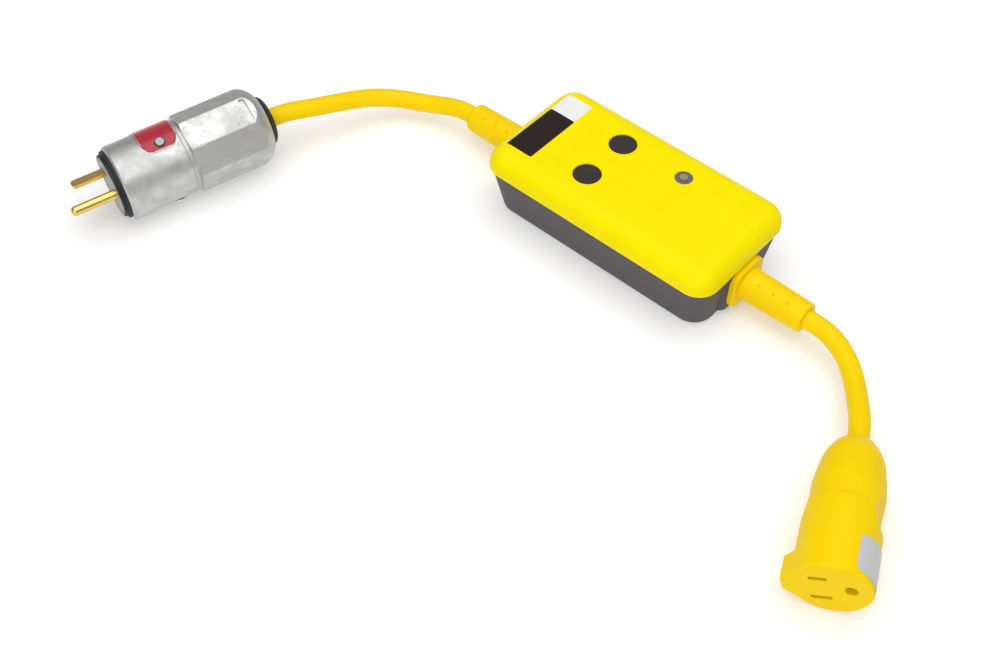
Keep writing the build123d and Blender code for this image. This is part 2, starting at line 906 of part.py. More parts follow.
def fixed_contacts():
    """Two fixed contact posts from the relay base."""
    tip = core_end() + armature_gap + armature_thickness + pusher_thickness - contact_depth - contact_gap
    point_z = relay_top() - contact_drop - contact_reach
    posts = []
    for side in (-1, 1):
        y = relay_y + side * contact_y
        post = block(contact_post_thickness, contact_arm_width, point_z - contact_radius, relay_top(),
                     tip - fixed_contact_depth - contact_post_thickness / 2, y)
        posts.append(post + along_x(contact_radius, tip - fixed_contact_depth, tip, y, point_z))
    return joined(posts)


# Cord outlets
def inner_flange(side, clearance):
    """The relief's flange inside the case wall, swollen by a clearance."""
    bottom = cord_height - relief_neck_radius - relief_inner_thickness
    return block(relief_inner_thickness + clearance,
                 outlet_pad_width - 2 * relief_inner_thickness + 2 * clearance, bottom,
                 parting_height - wall + clearance,
                 side * (outlet_inner - relief_inner_thickness / 2 - face_gap + clearance / 2))


def strain_relief(side):
    """Moulded relief: outer flange, tapered tube, and a neck and inner flange in the case wall."""
    face = Plane((outlet_face + face_gap, 0, cord_height), x_dir=(0, 1, 0), z_dir=(1, 0, 0))
    flange = extrude(face * RectangleRounded(relief_flange_width, relief_flange_height,
                                             relief_flange_radius),
                     relief_flange_thickness - face_gap)
    flange = fillet(flange.faces().sort_by(Axis.X)[-1].edges(), relief_flange_thickness / 3)
    root = Plane((outlet_face + face_gap, 0, cord_height), x_dir=(0, 1, 0), z_dir=(1, 0, 0))
    mouth = Plane((relief_mouth, 0, cord_height), x_dir=(0, 1, 0), z_dir=(1, 0, 0))
    tube = loft([(root * Circle(relief_root_radius)).face(), (mouth * Circle(relief_mouth_radius)).face()])
    tube = fillet(tube.faces().sort_by(Axis.X)[-1].edges(), relief_rim_radius)
    relief = flange + tube
    neck = Pos(outlet_inner - face_gap, 0, 0) * extrude(neck_outline(slide_gap),
                                                        outlet_wall + 3 * face_gap)
    relief += neck + inner_flange(1, 0)
    relief -= along_x(cord_radius + face_gap, outlet_inner - outlet_wall, relief_mouth + cut_overrun,
                      0, cord_height)
    for angle in (relief_dimple_turn, relief_dimple_turn + 180):
        for index in range(3):
            reach = relief_dimple_pitch * (index + 1)
            x = outlet_face + relief_flange_thickness + reach
            taper = (relief_root_radius - relief_mouth_radius) * reach / relief_length
            radius = relief_root_radius - taper
            place = Pos(x, -radius * math.cos(math.radians(angle)),
                        cord_height + radius * math.sin(math.radians(angle)))
            relief -= place * Sphere(relief_dimple_radius)
    return relief if side > 0 else relief.mirror(Plane.YZ)


def cord_tail(side):
    """The cord's jacket inside the relief and the clamp."""
    tail = along_x(cord_radius, tail_inner_x, relief_mouth, 0, cord_height)
    return tail if side > 0 else tail.mirror(Plane.YZ)


def cord_clamp(side):
    """Steel bar across the cord."""
    bottom = cord_height + cord_radius
    bar = slab(clamp_length, clamp_width, clamp_length / 4, bottom, bottom + clamp_thickness,
               side * clamp_x)
    for y in (-clamp_screw_y, clamp_screw_y):
        bar -= upright(small_screw_radius + steel_hole_gap, bottom - cut_overrun,
                       bottom + clamp_thickness + cut_overrun, side * clamp_x, y)
    return bar


def clamp_screws():
    """Four screws that draw the bars onto the cords."""
    top = cord_height + cord_radius + clamp_thickness
    length = cord_radius + clamp_thickness + small_screw_length - wall / 2
    screw = pan_screw(small_screw_radius, length, small_head_radius, small_head_height)
    return joined(Pos(x, y, top) * screw for x, y in four_places(clamp_x, clamp_screw_y))


def cover_label(front, back):
    """A thin label that follows the cover's top and its soft end."""
    skin = cover_form(label_thickness, parting_height) - cover_form(0, parting_height - cut_overrun)
    piece = slab(label_length, back - front, label_corner, inner_top, case_height + cut_overrun,
                 label_left + label_length / 2, (front + back) / 2)
    return skin & piece


# Free cords
def route_points(near, far, side):
    """A cord's route in the part's frame, from the relief's mouth outwards."""
    mouth = side * relief_mouth
    points = [Vector(mouth + x, y, cord_height + z) for x, y, z in near]
    return points + [Vector(mouth + x, y, z) for x, y, z in far]


def cord_path(points, name):
    """Straight runs joined by arcs as large as the runs allow."""
    radii = []
    for before, at, after in zip(points, points[1:], points[2:]):
        turn = math.radians((at - before).get_angle(after - at))
        shorter = min((at - before).length, (after - at).length)
        radii.append(arc_share * shorter / math.tan(turn / 2))
    print(name, "arc radii", [round(radius, 1) for radius in radii])
    return FilletPolyline(points, radius=radii)


def free_cord(points, name):
    """A round tube along a route."""
    path = cord_path(points, name)
    start = Plane(path @ 0, z_dir=path % 0)
    tube = sweep(start * Circle(cord_radius), path=path)
    expected = math.pi * cord_radius**2 * path.length
    print(name, "length", round(path.length, 1), "volume share", round(tube.volume / expected, 4))
    return tube


def end_plane(points):
    """A plane at a cord's far end, its normal pointing on along the cord, its x level."""
    end, before = points[-1], points[-2]
    normal = (end - before).normalized()
    level = Vector(-normal.Y, normal.X, 0).normalized()
    return Plane(end, x_dir=level, z_dir=normal)


# Plug, drawn along +Z from the cord end
def plug_profile(grow):
    """The turned outline of the shell: shoulder, rear part, groove and round front."""
    radius = plug_corner_radius + grow
    front = plug_round_radius + grow
    groove_start = plug_rear_end
    groove_end = plug_rear_end + plug_groove_length
    shoulder_end = plug_shell_start + plug_shoulder_length
    with BuildPart() as part:
        with BuildSketch(Plane.XZ):
            with BuildLine():
                Polyline((0, plug_shell_start), (plug_shoulder_radius + grow, plug_shell_start))
                ThreePointArc(
                    (plug_shoulder_radius + grow, plug_shell_start),
                    (plug_shoulder_radius + grow + (radius - plug_shoulder_radius) * shoulder_radius_share,
                     plug_shell_start + plug_shoulder_length * shoulder_height_share),
                    (radius, shoulder_end),
                )
                Polyline(
                    (radius, shoulder_end),
                    (radius, groove_start - plug_rim_edge),
                    (plug_groove_radius + grow, groove_start),
                    (plug_groove_radius + grow, groove_end),
                    (front, groove_end + plug_rim_edge / 2),
                    (front, plug_shell_end - plug_rim_edge),
                    (front - plug_rim_edge, plug_shell_end),
                    (0, plug_shell_end),
                    (0, plug_shell_start),
                )
            make_face()
        revolve(axis=Axis.Z)
    return part.part


def plug_shell():
    """Cast shell: round front, eight flats behind it, a turned shoulder and a cast pocket."""
    shell = plug_profile(0)
    apothem_radius = plug_flat_distance / math.cos(math.pi / plug_flat_count)
    flats = RegularPolygon(apothem_radius, plug_flat_count)
    flats = fillet(flats.vertices(), plug_flat_edge_radius)
    turn = plug_flat_turn + plug_front_turn
    rear = Pos(0, 0, plug_shell_start - cut_overrun) * Rot(0, 0, turn) * extrude(
        flats, plug_rear_end - plug_shell_start + cut_overrun)
    front = upright(plug_corner_radius + cut_overrun, plug_rear_end, plug_shell_end + cut_overrun)
    shell = shell & (rear + front)
    pad = upright(plug_round_radius + plug_pad_rise, plug_shell_end - plug_pad_length,
                  plug_shell_end - plug_rim_edge)
    pad &= half_space(plug_front_turn - plug_pad_turn)
    shell += pad
    pocket_turn = plug_front_turn + plug_flat_turn + 180 / plug_flat_count
    pocket = slab(plug_pocket_length, plug_pocket_width, plug_pocket_length * round_end_share,
                  plug_flat_distance - plug_pocket_depth, plug_corner_radius + cut_overrun)
    pocket = Pos(0, 0, plug_pocket_at) * Rot(0, 0, pocket_turn) * Rot(0, 90, 0) * pocket
    shell -= pocket
    bore = plug_round_radius - plug_shell_wall
    shell -= upright(bore, plug_shell_start + plug_shoulder_length, plug_shell_end + cut_overrun)
    shell -= upright(plug_bushing_radius - slide_gap + face_gap, plug_shell_start - cut_overrun,
                     plug_shell_start + plug_shoulder_length + cut_overrun)
    for angle in nameplate_angles():
        shell -= radial_bar(rivet_shank + face_gap, angle, plate_middle(), bore - cut_overrun,
                            plug_corner_radius)
    shell -= radial_bar(rivet_shank + face_gap, shell_screw_angle(), plate_middle(),
                        bore - cut_overrun, plug_corner_radius + cut_overrun)
    return shell


def half_space(angle):
    """The half of the plug's space on the under side of a turned line through its axis."""
    size = 2 * plug_corner_radius
    return Rot(0, 0, angle) * block(size, size, 0, plug_face_at, 0, -size / 2)


def radial_bar(radius, angle, height, inner, outer):
    """A round bar square to the plug's axis."""
    bar = along_x(radius, inner, outer)
    return Pos(0, 0, height) * Rot(0, 0, angle) * bar


def plate_middle():
    """The middle of the nameplate along the plug."""
    return nameplate_start + nameplate_length / 2


def nameplate_angles():
    """Where the two rivets sit round the shell."""
    first = plug_front_turn + nameplate_first_angle + rivet_inset_angle
    last = plug_front_turn + nameplate_last_angle - rivet_inset_angle
    return [first, last]


def shell_screw_angle():
    """Where the screw sits round the shell."""
    return plug_front_turn - shell_screw_turn


def nameplate():
    """Curved plate with rounded corners on the round part of the shell."""
    inner = plug_round_radius + face_gap
    outer = inner + nameplate_thickness
    first = math.radians(plug_front_turn + nameplate_first_angle)
    last = math.radians(plug_front_turn + nameplate_last_angle)
    half = (last - first) / 2
    middle = math.degrees((first + last) / 2)
    width = 2 * inner * math.sin(half)
    ring = upright(outer, nameplate_start, nameplate_start + nameplate_length)
    ring -= upright(inner, nameplate_start - cut_overrun, nameplate_start + nameplate_length + cut_overrun)
    mask = slab(nameplate_length, width, nameplate_corner, 0, outer + cut_overrun)
    mask = Pos(0, 0, plate_middle()) * Rot(0, 0, middle) * Rot(0, 90, 0) * mask
    plate = ring & mask
    for angle in nameplate_angles():
        plate -= radial_bar(rivet_shank + face_gap, angle, plate_middle(), inner - cut_overrun,
                            outer + cut_overrun)
    return plate


def domed_rivet(radius, rise, shank, seat):
    """A rivet along +X with its domed head outside the seat."""
    length = plug_shell_wall + nameplate_thickness
    rivet = along_x(radius, seat, seat + rise)
    rivet = fillet(rivet.faces().sort_by(Axis.X)[-1].edges(), rise * rivet_dome_share)
    return rivet + along_x(shank, seat - length, seat)


def nameplate_rivets():
    """Two domed rivets through the plate."""
    seat = plug_round_radius + 2 * face_gap + nameplate_thickness
    rivet = domed_rivet(rivet_radius, rivet_rise, rivet_shank, seat)
    return joined(Pos(0, 0, plate_middle()) * Rot(0, 0, angle) * rivet for angle in nameplate_angles())


def shell_screw():
    """The screw under the shell that holds the insert."""
    seat = plug_round_radius + face_gap
    screw = domed_rivet(shell_screw_radius, shell_screw_rise, rivet_shank, seat)
    slot = block(cut_overrun, 2 * shell_screw_radius, -rivet_shank / 3, rivet_shank / 3,
                 seat + shell_screw_rise)
    return Pos(0, 0, plate_middle()) * Rot(0, 0, shell_screw_angle()) * (screw - slot)


def cord_bushing():
    """Domed rubber bushing at the cord end of the shell."""
    with BuildPart() as part:
        with BuildSketch(Plane.XZ):
            with BuildLine():
                Polyline(
                    (cord_radius + face_gap, plug_shell_start + plug_bushing_collar),
                    (cord_radius + face_gap, 0),
                    (plug_bushing_lip, 0),
                )
                ThreePointArc(
                    (plug_bushing_lip, 0),
                    (plug_bushing_radius * bushing_radius_share, plug_shell_start * bushing_height_share),
                    (plug_bushing_radius, plug_shell_start - face_gap),
                )
                Polyline(
                    (plug_bushing_radius, plug_shell_start - face_gap),
                    (plug_bushing_radius - slide_gap, plug_shell_start - face_gap),
                    (plug_bushing_radius - slide_gap, plug_shell_start + plug_bushing_collar),
                    (cord_radius + face_gap, plug_shell_start + plug_bushing_collar),
                )
            make_face()
        revolve(axis=Axis.Z)
    return part.part


def blade_places():
    """Blade centres with the ground direction along +X."""
    return [(-blade_offset, blade_spacing / 2), (-blade_offset, -blade_spacing / 2)]


def ground_place():
    """Centre of the ground pin."""
    return (ground_distance - blade_offset, 0)


def plug_insert():
    """Grey insulating insert that carries the pins."""
    bore = plug_round_radius - plug_shell_wall
    body = upright(bore - face_gap, plug_face_at - insert_step - insert_body_length,
                   plug_face_at - insert_step)
    nose = upright(insert_radius, plug_face_at - insert_step, plug_face_at)
    insert = body + fillet(nose.faces().sort_by(Axis.Z)[-1].edges(), plug_rim_edge / 2)
    bottom = plug_face_at - insert_step - insert_body_length - cut_overrun
    features = []
    for x, y in blade_places():
        features.append(block(blade_width + 2 * face_gap, blade_thickness + 2 * face_gap, bottom,
                              plug_face_at + cut_overrun, x, y))
    x, y = ground_place()
    features.append(upright(ground_tail_radius + face_gap, bottom, plug_face_at + cut_overrun, x, y))
    features.append(block(insert_slot_width, insert_slot_length, plug_face_at - insert_slot_depth,
                          plug_face_at + cut_overrun, insert_slot_x, 0))
    features.append(block(insert_notch_size, insert_notch_size, plug_face_at - insert_step / 2,
                          plug_face_at + cut_overrun, insert_notch_x, -insert_radius))
    for x, y in blade_places() + [ground_place()]:
        features.append(upright(plug_screw_radius + face_gap, bottom,
                                bottom + cut_overrun + plug_screw_length + face_gap, x, y))
    for feature in features:
        insert -= Rot(0, 0, insert_ground_turn) * feature
    for angle in nameplate_angles() + [shell_screw_angle()]:
        insert -= radial_bar(rivet_shank + face_gap, angle, plate_middle(), insert_radius - rivet_shank,
                             plug_corner_radius)
    return insert


def plug_gasket():
    """Black ring round the insert's nose, standing out of the shell's rim."""
    bore = plug_round_radius - plug_shell_wall
    top = plug_shell_end + plug_gasket_rise
    ring = upright(bore - face_gap, plug_face_at - insert_step, top)
    ring = fillet(ring.faces().sort_by(Axis.Z)[-1].edges(), plug_rim_edge / 2)
    return ring - upright(insert_radius + face_gap, plug_face_at - insert_step - cut_overrun,
                          top + cut_overrun)


def blade(side):
    """A flat brass blade with a rounded tip."""
    x, y = blade_places()[0 if side > 0 else 1]
    body = block(blade_width, blade_thickness, plug_face_at - insert_step - blade_tail,
                 plug_face_at + blade_length)
    tip = body.faces().sort_by(Axis.Z)[-1].edges().filter_by(Axis.Y)
    body = fillet(tip, blade_tip_radius)
    return Rot(0, 0, insert_ground_turn) * Pos(x, y, 0) * body


def ground_pin():
    """Round brass earth pin, longer than the blades, with a domed tip and a thinner tail."""
    x, y = ground_place()
    pin = upright(ground_radius, plug_face_at + face_gap, plug_face_at + ground_length)
    pin = fillet(pin.faces().sort_by(Axis.Z)[-1].edges(), ground_tip_radius)
    pin += upright(ground_tail_radius, plug_face_at - insert_step - blade_tail, plug_face_at + face_gap)
    return Rot(0, 0, insert_ground_turn) * Pos(x, y, 0) * pin


def plug_terminal_screws():
    """Three screws at the back of the insert that hold the conductors."""
    bottom = plug_face_at - insert_step - insert_body_length
    screw = pan_screw(plug_screw_radius, plug_screw_length, small_head_radius, small_head_height)
    screw = Rot(180, 0, 0) * screw
    spots = blade_places() + [ground_place()]
    return joined(Rot(0, 0, insert_ground_turn) * Pos(x, y, bottom) * screw for x, y in spots)


def cord_grip():
    """Two clamp halves on the cord inside the shell."""
    halves = []
    for side in (-1, 1):
        half = block(grip_width, grip_thickness, grip_at, grip_at + grip_length, 0,
                     side * (grip_thickness / 2 + grip_split))
        half = half - upright(cord_radius + face_gap, grip_at - cut_overrun,
                              grip_at + grip_length + cut_overrun)
        for x in (-grip_screw_y, grip_screw_y):
            half -= along_y(small_screw_radius + face_gap, -grip_width, grip_width, x,
                            grip_at + grip_length / 2)
        halves.append(half)
    return joined(halves)


def grip_screws():
    """Two screws through the clamp halves."""
    reach = grip_thickness + grip_split
    screws = []
    for x in (-grip_screw_y, grip_screw_y):
        screw = pan_screw(small_screw_radius, 2 * reach, small_head_radius, small_head_height)
        screws.append(Pos(x, -reach, grip_at + grip_length / 2) * Rot(90, 0, 0) * screw)
    return joined(screws)


def plug_cord_tail():
    """The cord's jacket inside the bushing and the grip."""
    return upright(cord_radius, 0, plug_tail_length)


# Connector, drawn along +Z from the cord end
def connector_form():
    """The moulded body's turned form: neck, shoulder, grip and front."""
    with BuildPart() as part:
        with BuildSketch(Plane.XZ):
            with BuildLine():
                Polyline((0, 0), (connector_neck_radius, 0))
                Spline(
                    (connector_neck_radius, 0),
                    (connector_heel_radius, connector_heel_at),
                    (connector_shoulder_radius, connector_shoulder_at),
                    (connector_back_radius, connector_back_at),
                    (connector_waist_radius, connector_waist_at),
                    (connector_grip_radius, connector_grip_at),
                    (connector_front_radius, connector_front_at),
                    tangents=[(1, 0.6), (0, 1)],
                )
                Polyline((connector_front_radius, connector_front_at),
                         (connector_face_radius, connector_length), (0, connector_length), (0, 0))
            make_face()
        revolve(axis=Axis.Z)
    return part.part


def connector_outer():
    """The body with its key lug and finger hollows, before the socket is cut."""
    body = Rot(0, 0, 45) * connector_form()
    body = fillet(body.faces().sort_by(Axis.Z)[-1].edges(), connector_edge_radius)
    lug = slab(lug_rise + connector_face_radius / 2, lug_width, lug_radius,
               connector_length - lug_length, connector_length - face_gap,
               -connector_face_radius - lug_rise / 2 + connector_face_radius / 4)
    flare_x = connector_face_radius * math.cos(math.radians(lug_flare_turn))
    flare_y = connector_face_radius * math.sin(math.radians(lug_flare_turn))
    flare = Polygon((-connector_face_radius - lug_rise / 2, -lug_width / 2), (-flare_x, -flare_y),
                    (-flare_x, flare_y), (-connector_face_radius - lug_rise / 2, lug_width / 2),
                    align=None)
    lug += Pos(0, 0, connector_length - lug_length) * extrude(flare, lug_length - face_gap)
    lug = fillet(lug.faces().sort_by(Axis.Z)[0].edges(), lug_radius / 3)
    lug = fillet(lug.faces().sort_by(Axis.Z)[-1].edges(), connector_edge_radius)
    body += lug
    reach = connector_grip_radius + dimple_radius - dimple_depth
    for side in (-1, 1):
        body -= along_y(dimple_radius, -connector_face_radius, connector_face_radius, side * reach,
                        connector_grip_at)
    return body


def slot_places():
    """Slot centres and lengths, with the ground hole along +X."""
    return [(-socket_offset, blade_spacing / 2, slot_short),
            (-socket_offset, -blade_spacing / 2, slot_long)]


def ground_hole_outline(clearance):
    """Round hole with a flat on the side towards the slots."""
    radius = ground_hole_radius - clearance
    hole = Circle(radius)
    keep = Pos(radius - ground_hole_flat, 0) * Rectangle(2 * radius, 2 * radius + ground_hole_flat)
    return hole & keep


def carrier_bottom():
    """Where the contact carrier starts along the connector."""
    return connector_length - socket_skin - carrier_length


def connector_body():
    """Yellow moulding with the socket openings and the carrier's chamber."""
    body = connector_outer()
    body -= upright(carrier_radius + face_gap, carrier_bottom() - face_gap,
                    connector_length - socket_skin)
    for x, y, length in slot_places():
        body -= block(length, slot_width, connector_length - socket_skin - cut_overrun,
                      connector_length + cut_overrun, x, y)
    hole = extrude(ground_hole_outline(0), socket_skin + 2 * cut_overrun)
    body -= Pos(ground_distance - socket_offset, 0, connector_length - socket_skin - cut_overrun) * hole
    return body


def contact_carrier():
    """Insulating block inside the connector with a pocket for each contact."""
    top = connector_length - socket_skin - face_gap
    carrier = upright(carrier_radius, carrier_bottom(), top)
    pocket_bottom = top - carrier_pocket_depth
    for x, y, length in slot_places():
        carrier -= block(length + 2 * contact_thickness, slot_width + 4 * contact_thickness,
                         pocket_bottom, top + cut_overrun, x, y)
    carrier -= upright(ground_hole_radius + 2 * ground_sleeve_wall, pocket_bottom, top + cut_overrun,
                       ground_distance - socket_offset, 0)
    return carrier


def slot_contact(index):
    """A folded brass contact with two jaws."""
    x, y, length = slot_places()[index]
    pocket_bottom = connector_length - socket_skin - face_gap - carrier_pocket_depth
    width = slot_width + 4 * contact_thickness - 2 * face_gap
    jaw = block(length, width, pocket_bottom + face_gap, pocket_bottom + contact_length, x, y)
    gap = block(length + 2 * cut_overrun, width - 2 * contact_thickness,
                pocket_bottom + contact_thickness + face_gap, pocket_bottom + 2 * contact_length, x, y)
    return jaw - gap


def ground_contact():
    """Round brass sleeve with a closed foot."""
    pocket_bottom = connector_length - socket_skin - face_gap - carrier_pocket_depth
    outer = ground_hole_radius + 2 * ground_sleeve_wall - face_gap
    sleeve = upright(outer, pocket_bottom + face_gap, pocket_bottom + contact_length)
    sleeve -= upright(outer - ground_sleeve_wall, pocket_bottom + face_gap + contact_thickness,
                      pocket_bottom + 2 * contact_length)
    sleeve -= block(contact_thickness, 3 * outer, pocket_bottom + 2 * contact_thickness,
                    pocket_bottom + 2 * contact_length)
    return Pos(ground_distance - socket_offset, 0, 0) * sleeve


def connector_label():
    """Thin curved sticker on the side of the connector."""
    inner = connector_front_radius + slide_gap
    ring = upright(inner + label_thickness, connector_label_at,
                   connector_label_at + connector_label_length)
    ring -= upright(inner, connector_label_at - cut_overrun,
                    connector_label_at + connector_label_length + cut_overrun)
    first = math.radians(connector_label_first - connector_turn)
    last = math.radians(connector_label_last - connector_turn)
    middle = math.degrees((first + last) / 2)
    width = 2 * inner * math.sin((last - first) / 2)
    mask = slab(connector_label_length, width, 4 * label_corner, 0, inner + cut_overrun)
    place = Pos(0, 0, connector_label_at + connector_label_length / 2)
    return ring & (place * Rot(0, 0, middle) * Rot(0, 90, 0) * mask)


def build_box():
    """Every piece of the trip box, by node name."""
    (reset_x, reset_y), (test_x, test_y) = button_places()
    return {
        "top_cover": top_cover(),
        "bottom_case": bottom_case(),
        "case_gasket": case_gasket(),
        "case_screws": case_screws(),
        "reset_button": button_cap(reset_x, reset_y),
        "test_button": button_cap(test_x, test_y),
        "reset_spring": button_spring(reset_x, reset_y),
        "test_spring": button_spring(test_x, test_y),
        "switch_bodies": joined(switch_body(x, y) for x, y in button_places()),
        "reset_plunger": switch_plunger(reset_x, reset_y),
        "test_plunger": switch_plunger(test_x, test_y),
        "indicator_lens": indicator_lens(),
        "indicator_lamp": indicator_lamp(),
        "circuit_board": circuit_board(),
        "board_screws": board_screws(),
        "sensing_rings": joined(toroid(toroid_first_x + index * toroid_pitch) for index in (0, 1)),
        "primary_staples": primary_staples(),
        "surge_varistor": surge_varistor(),
        "filter_capacitor": filter_capacitor(),
        "control_chip": control_chip(),
        "rectifier_diodes": rectifier_diodes(),
        "terminals": terminals(),
        "terminal_screws": terminal_screws(),
        "conductors": conductors(),
        "relay_base": relay_base(),
        "relay_yoke": relay_yoke(),
        "relay_core": relay_core(),
        "relay_bobbin": relay_bobbin(),
        "relay_coil": relay_coil(),
        "relay_armature": relay_armature(),
        "relay_pusher": relay_pusher(),
        "moving_contacts": moving_contacts(),
        "fixed_contacts": fixed_contacts(),
        "line_relief": strain_relief(-1),
        "load_relief": strain_relief(1),
        "cord_tails": joined([cord_tail(-1), cord_tail(1)]),
        "cord_clamps": joined([cord_clamp(-1), cord_clamp(1)]),
        "clamp_screws": clamp_screws(),
        "cover_label": cover_label(dark_label_front, label_split - face_gap),
        "code_label": cover_label(label_split, light_label_back),
    }


def build_plug():
    """Every piece of the plug, along its own axis."""
    return {
        "plug_shell": plug_shell(),
        "plug_insert": plug_insert(),
        "plug_gasket": plug_gasket(),
        "line_blade": blade(1),
        "neutral_blade": blade(-1),
        "ground_pin": ground_pin(),
        "plug_terminal_screws": plug_terminal_screws(),
        "cord_bushing": cord_bushing(),
        "plug_cord_tail": plug_cord_tail(),
        "cord_grip": cord_grip(),
        "grip_screws": grip_screws(),
        "nameplate": nameplate(),
        "nameplate_rivets": nameplate_rivets(),
        "shell_screw": shell_screw(),
    }


def build_connector():
    """Every piece of the connector, along its own axis."""
    return {
        "connector_body": connector_body(),
        "contact_carrier": contact_carrier(),
        "socket_contacts": joined([slot_contact(0), slot_contact(1), ground_contact()]),
        "connector_label": connector_label(),
    }


def main():
    os.makedirs("parts", exist_ok=True)
    pieces = build_box()
    line_points = route_points(line_near, line_far, -1)
    load_points = route_points(load_near, load_far, 1)
    pieces["line_cord"] = free_cord(line_points, "line_cord")
    pieces["load_cord"] = free_cord(load_points, "load_cord")
    plug_place = end_plane(line_points).location
    for name, piece in build_plug().items():
        pieces[name] = plug_place * piece
    connector_place = end_plane(load_points).location * Rot(0, 0, connector_turn)
    for name, piece in build_connector().items():
        pieces[name] = connector_place * piece
    for name, piece in pieces.items():
        export_step(piece, "parts/" + name + ".step")
    print(len(pieces), "nodes")


main()
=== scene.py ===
"""Looks of an in-line RCD adapter cord set, laid out as a Blender add-on and run as a script."""

import bpy
import numpy as np
from mathutils import Matrix, Vector


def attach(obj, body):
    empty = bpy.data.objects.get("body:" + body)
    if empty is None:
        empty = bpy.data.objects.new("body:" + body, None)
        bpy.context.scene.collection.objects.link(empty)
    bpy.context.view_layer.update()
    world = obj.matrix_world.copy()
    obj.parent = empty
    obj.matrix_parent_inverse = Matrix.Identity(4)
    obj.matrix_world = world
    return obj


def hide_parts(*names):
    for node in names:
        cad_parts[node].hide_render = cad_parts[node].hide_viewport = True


bl_info = {
    "name": "RCD adapter cord set",
    "version": (1, 0, 0),
    "blender": (4, 5, 0),
    "location": "View3D > Sidebar > Cord set",
    "description": "Finishes, cords and studio for a trip box with its plug and connector",
    "category": "Object",
}

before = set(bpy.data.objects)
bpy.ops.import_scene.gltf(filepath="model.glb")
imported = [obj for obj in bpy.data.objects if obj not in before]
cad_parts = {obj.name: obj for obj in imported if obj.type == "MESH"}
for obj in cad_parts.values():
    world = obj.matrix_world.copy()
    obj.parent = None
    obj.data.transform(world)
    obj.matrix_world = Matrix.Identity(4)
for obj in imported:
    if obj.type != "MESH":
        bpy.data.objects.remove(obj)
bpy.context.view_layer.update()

# The cords' routes in metres, from the mouth of each strain relief outwards.
LINE_ROUTE = np.array([
    (-0.0980, 0.0, 0.0140),
    (-0.1031, 0.0, 0.0140),
    (-0.1112, -0.0009, 0.0132),
    (-0.1252, -0.0051, 0.0099),
    (-0.1390, -0.0135, 0.0113),
    (-0.1482, -0.0262, 0.0147),
    (-0.1537, -0.0408, 0.0177),
    (-0.1589, -0.0548, 0.0202),
    (-0.1645, -0.0667, 0.02213),
    (-0.1668, -0.0746, 0.02185),
])
LOAD_ROUTE = np.array([
    (0.0980, 0.0, 0.0140),
    (0.1069, 0.0, 0.0140),
    (0.1158, -0.0023, 0.0133),
    (0.1251, -0.0076, 0.0123),
    (0.1335, -0.0160, 0.0120),
    (0.1404, -0.0258, 0.0146),
    (0.1470, -0.0352, 0.0162),
    (0.1506, -0.0432, 0.0162),
])
PLUG_PIECES = [
    "plug_shell",
    "plug_insert",
    "plug_gasket",
    "line_blade",
    "neutral_blade",
    "ground_pin",
    "plug_terminal_screws",
    "cord_bushing",
    "plug_cord_tail",
    "cord_grip",
    "grip_screws",
    "nameplate",
    "nameplate_rivets",
    "shell_screw",
]
CONNECTOR_PIECES = ["connector_body", "contact_carrier", "socket_contacts", "connector_label"]

# The nameplate on the plug's shell: turns in degrees round the plug's axis, lengths in metres.
PLATE_MIDDLE_TURN = 131.45
PLATE_RADIUS = 0.01825
PLATE_HALF_WIDTH = 0.0222
PLATE_HALF_LENGTH = 0.0092
PLATE_AT = 0.0555
PLATE_CORNER = 0.005
RIVET_TURNS = (74.5, 188.4)
RIVET_RADIUS = 0.0026

# The indicator lens on the cover, the height of the case's dusty foot, and the heights of the painted
# shadow that darkens the case's upper edge under the cover's overhang.
LENS_CENTRE = (0.0172, 0.0145, 0.0365)
LENS_MIDDLE_RADIUS = 0.0022
DUST_HEIGHT = 0.009
OVERHANG_SHADOW_HEIGHTS = (0.0250, 0.0257)

# Directions and places in the shared frame.
ORIGIN = (0.0, 0.0, 0.0)
ALONG_X = (1.0, 0.0, 0.0)
ALONG_Y = (0.0, 1.0, 0.0)
ALONG_Z = (0.0, 0.0, 1.0)

# How much fine detail a noise carries.
COARSE = 2.0
MEDIUM = 3.0
FINE = 4.0
FINEST = 5.0

# Edges that bend more than this, in radians, stay sharp.
SHARP_BEND = 0.6

# Finishes that several pieces share, as linear colours.
WHITE = (1.0, 1.0, 1.0, 1.0)
ZINC = (0.62, 0.62, 0.60)
BRIGHT_STEEL = (0.70, 0.70, 0.68)
RIVET_STEEL = (0.34, 0.39, 0.38)
SOFT_IRON = (0.40, 0.40, 0.41)
SHEET_BRASS = (0.82, 0.60, 0.22)
COPPER = (0.72, 0.30, 0.14)
BARE_RIM = (0.62, 0.56, 0.54)
# Near-black of the painted shadow under the cover's overhang.
OVERHANG_SHADOW_DARK = (0.008, 0.007, 0.008, 1.0)
# Near-black of the painted shade at the insert's edge inside the shell's rim.
INSERT_EDGE_SHADE = (0.012, 0.012, 0.014, 1.0)
INSERT_GREY = (0.40, 0.39, 0.40)
BLACK_PLASTIC = (0.025, 0.025, 0.026)
BLACK_RUBBER = (0.02, 0.02, 0.021)
NATURAL_PLASTIC = (0.72, 0.71, 0.66)
BOARD_GREEN = (0.02, 0.13, 0.05)
DIPPED_BLUE = (0.03, 0.10, 0.32)
FILM_AMBER = (0.70, 0.40, 0.06)
CLEAR_EPOXY = (0.85, 0.85, 0.86)
LENS_OLIVE = (0.30, 0.27, 0.12)
DARK_FILM = (0.016, 0.009, 0.008)
WHITE_FILM = (0.82, 0.82, 0.80)
GREY_FILM = (0.56, 0.56, 0.57)

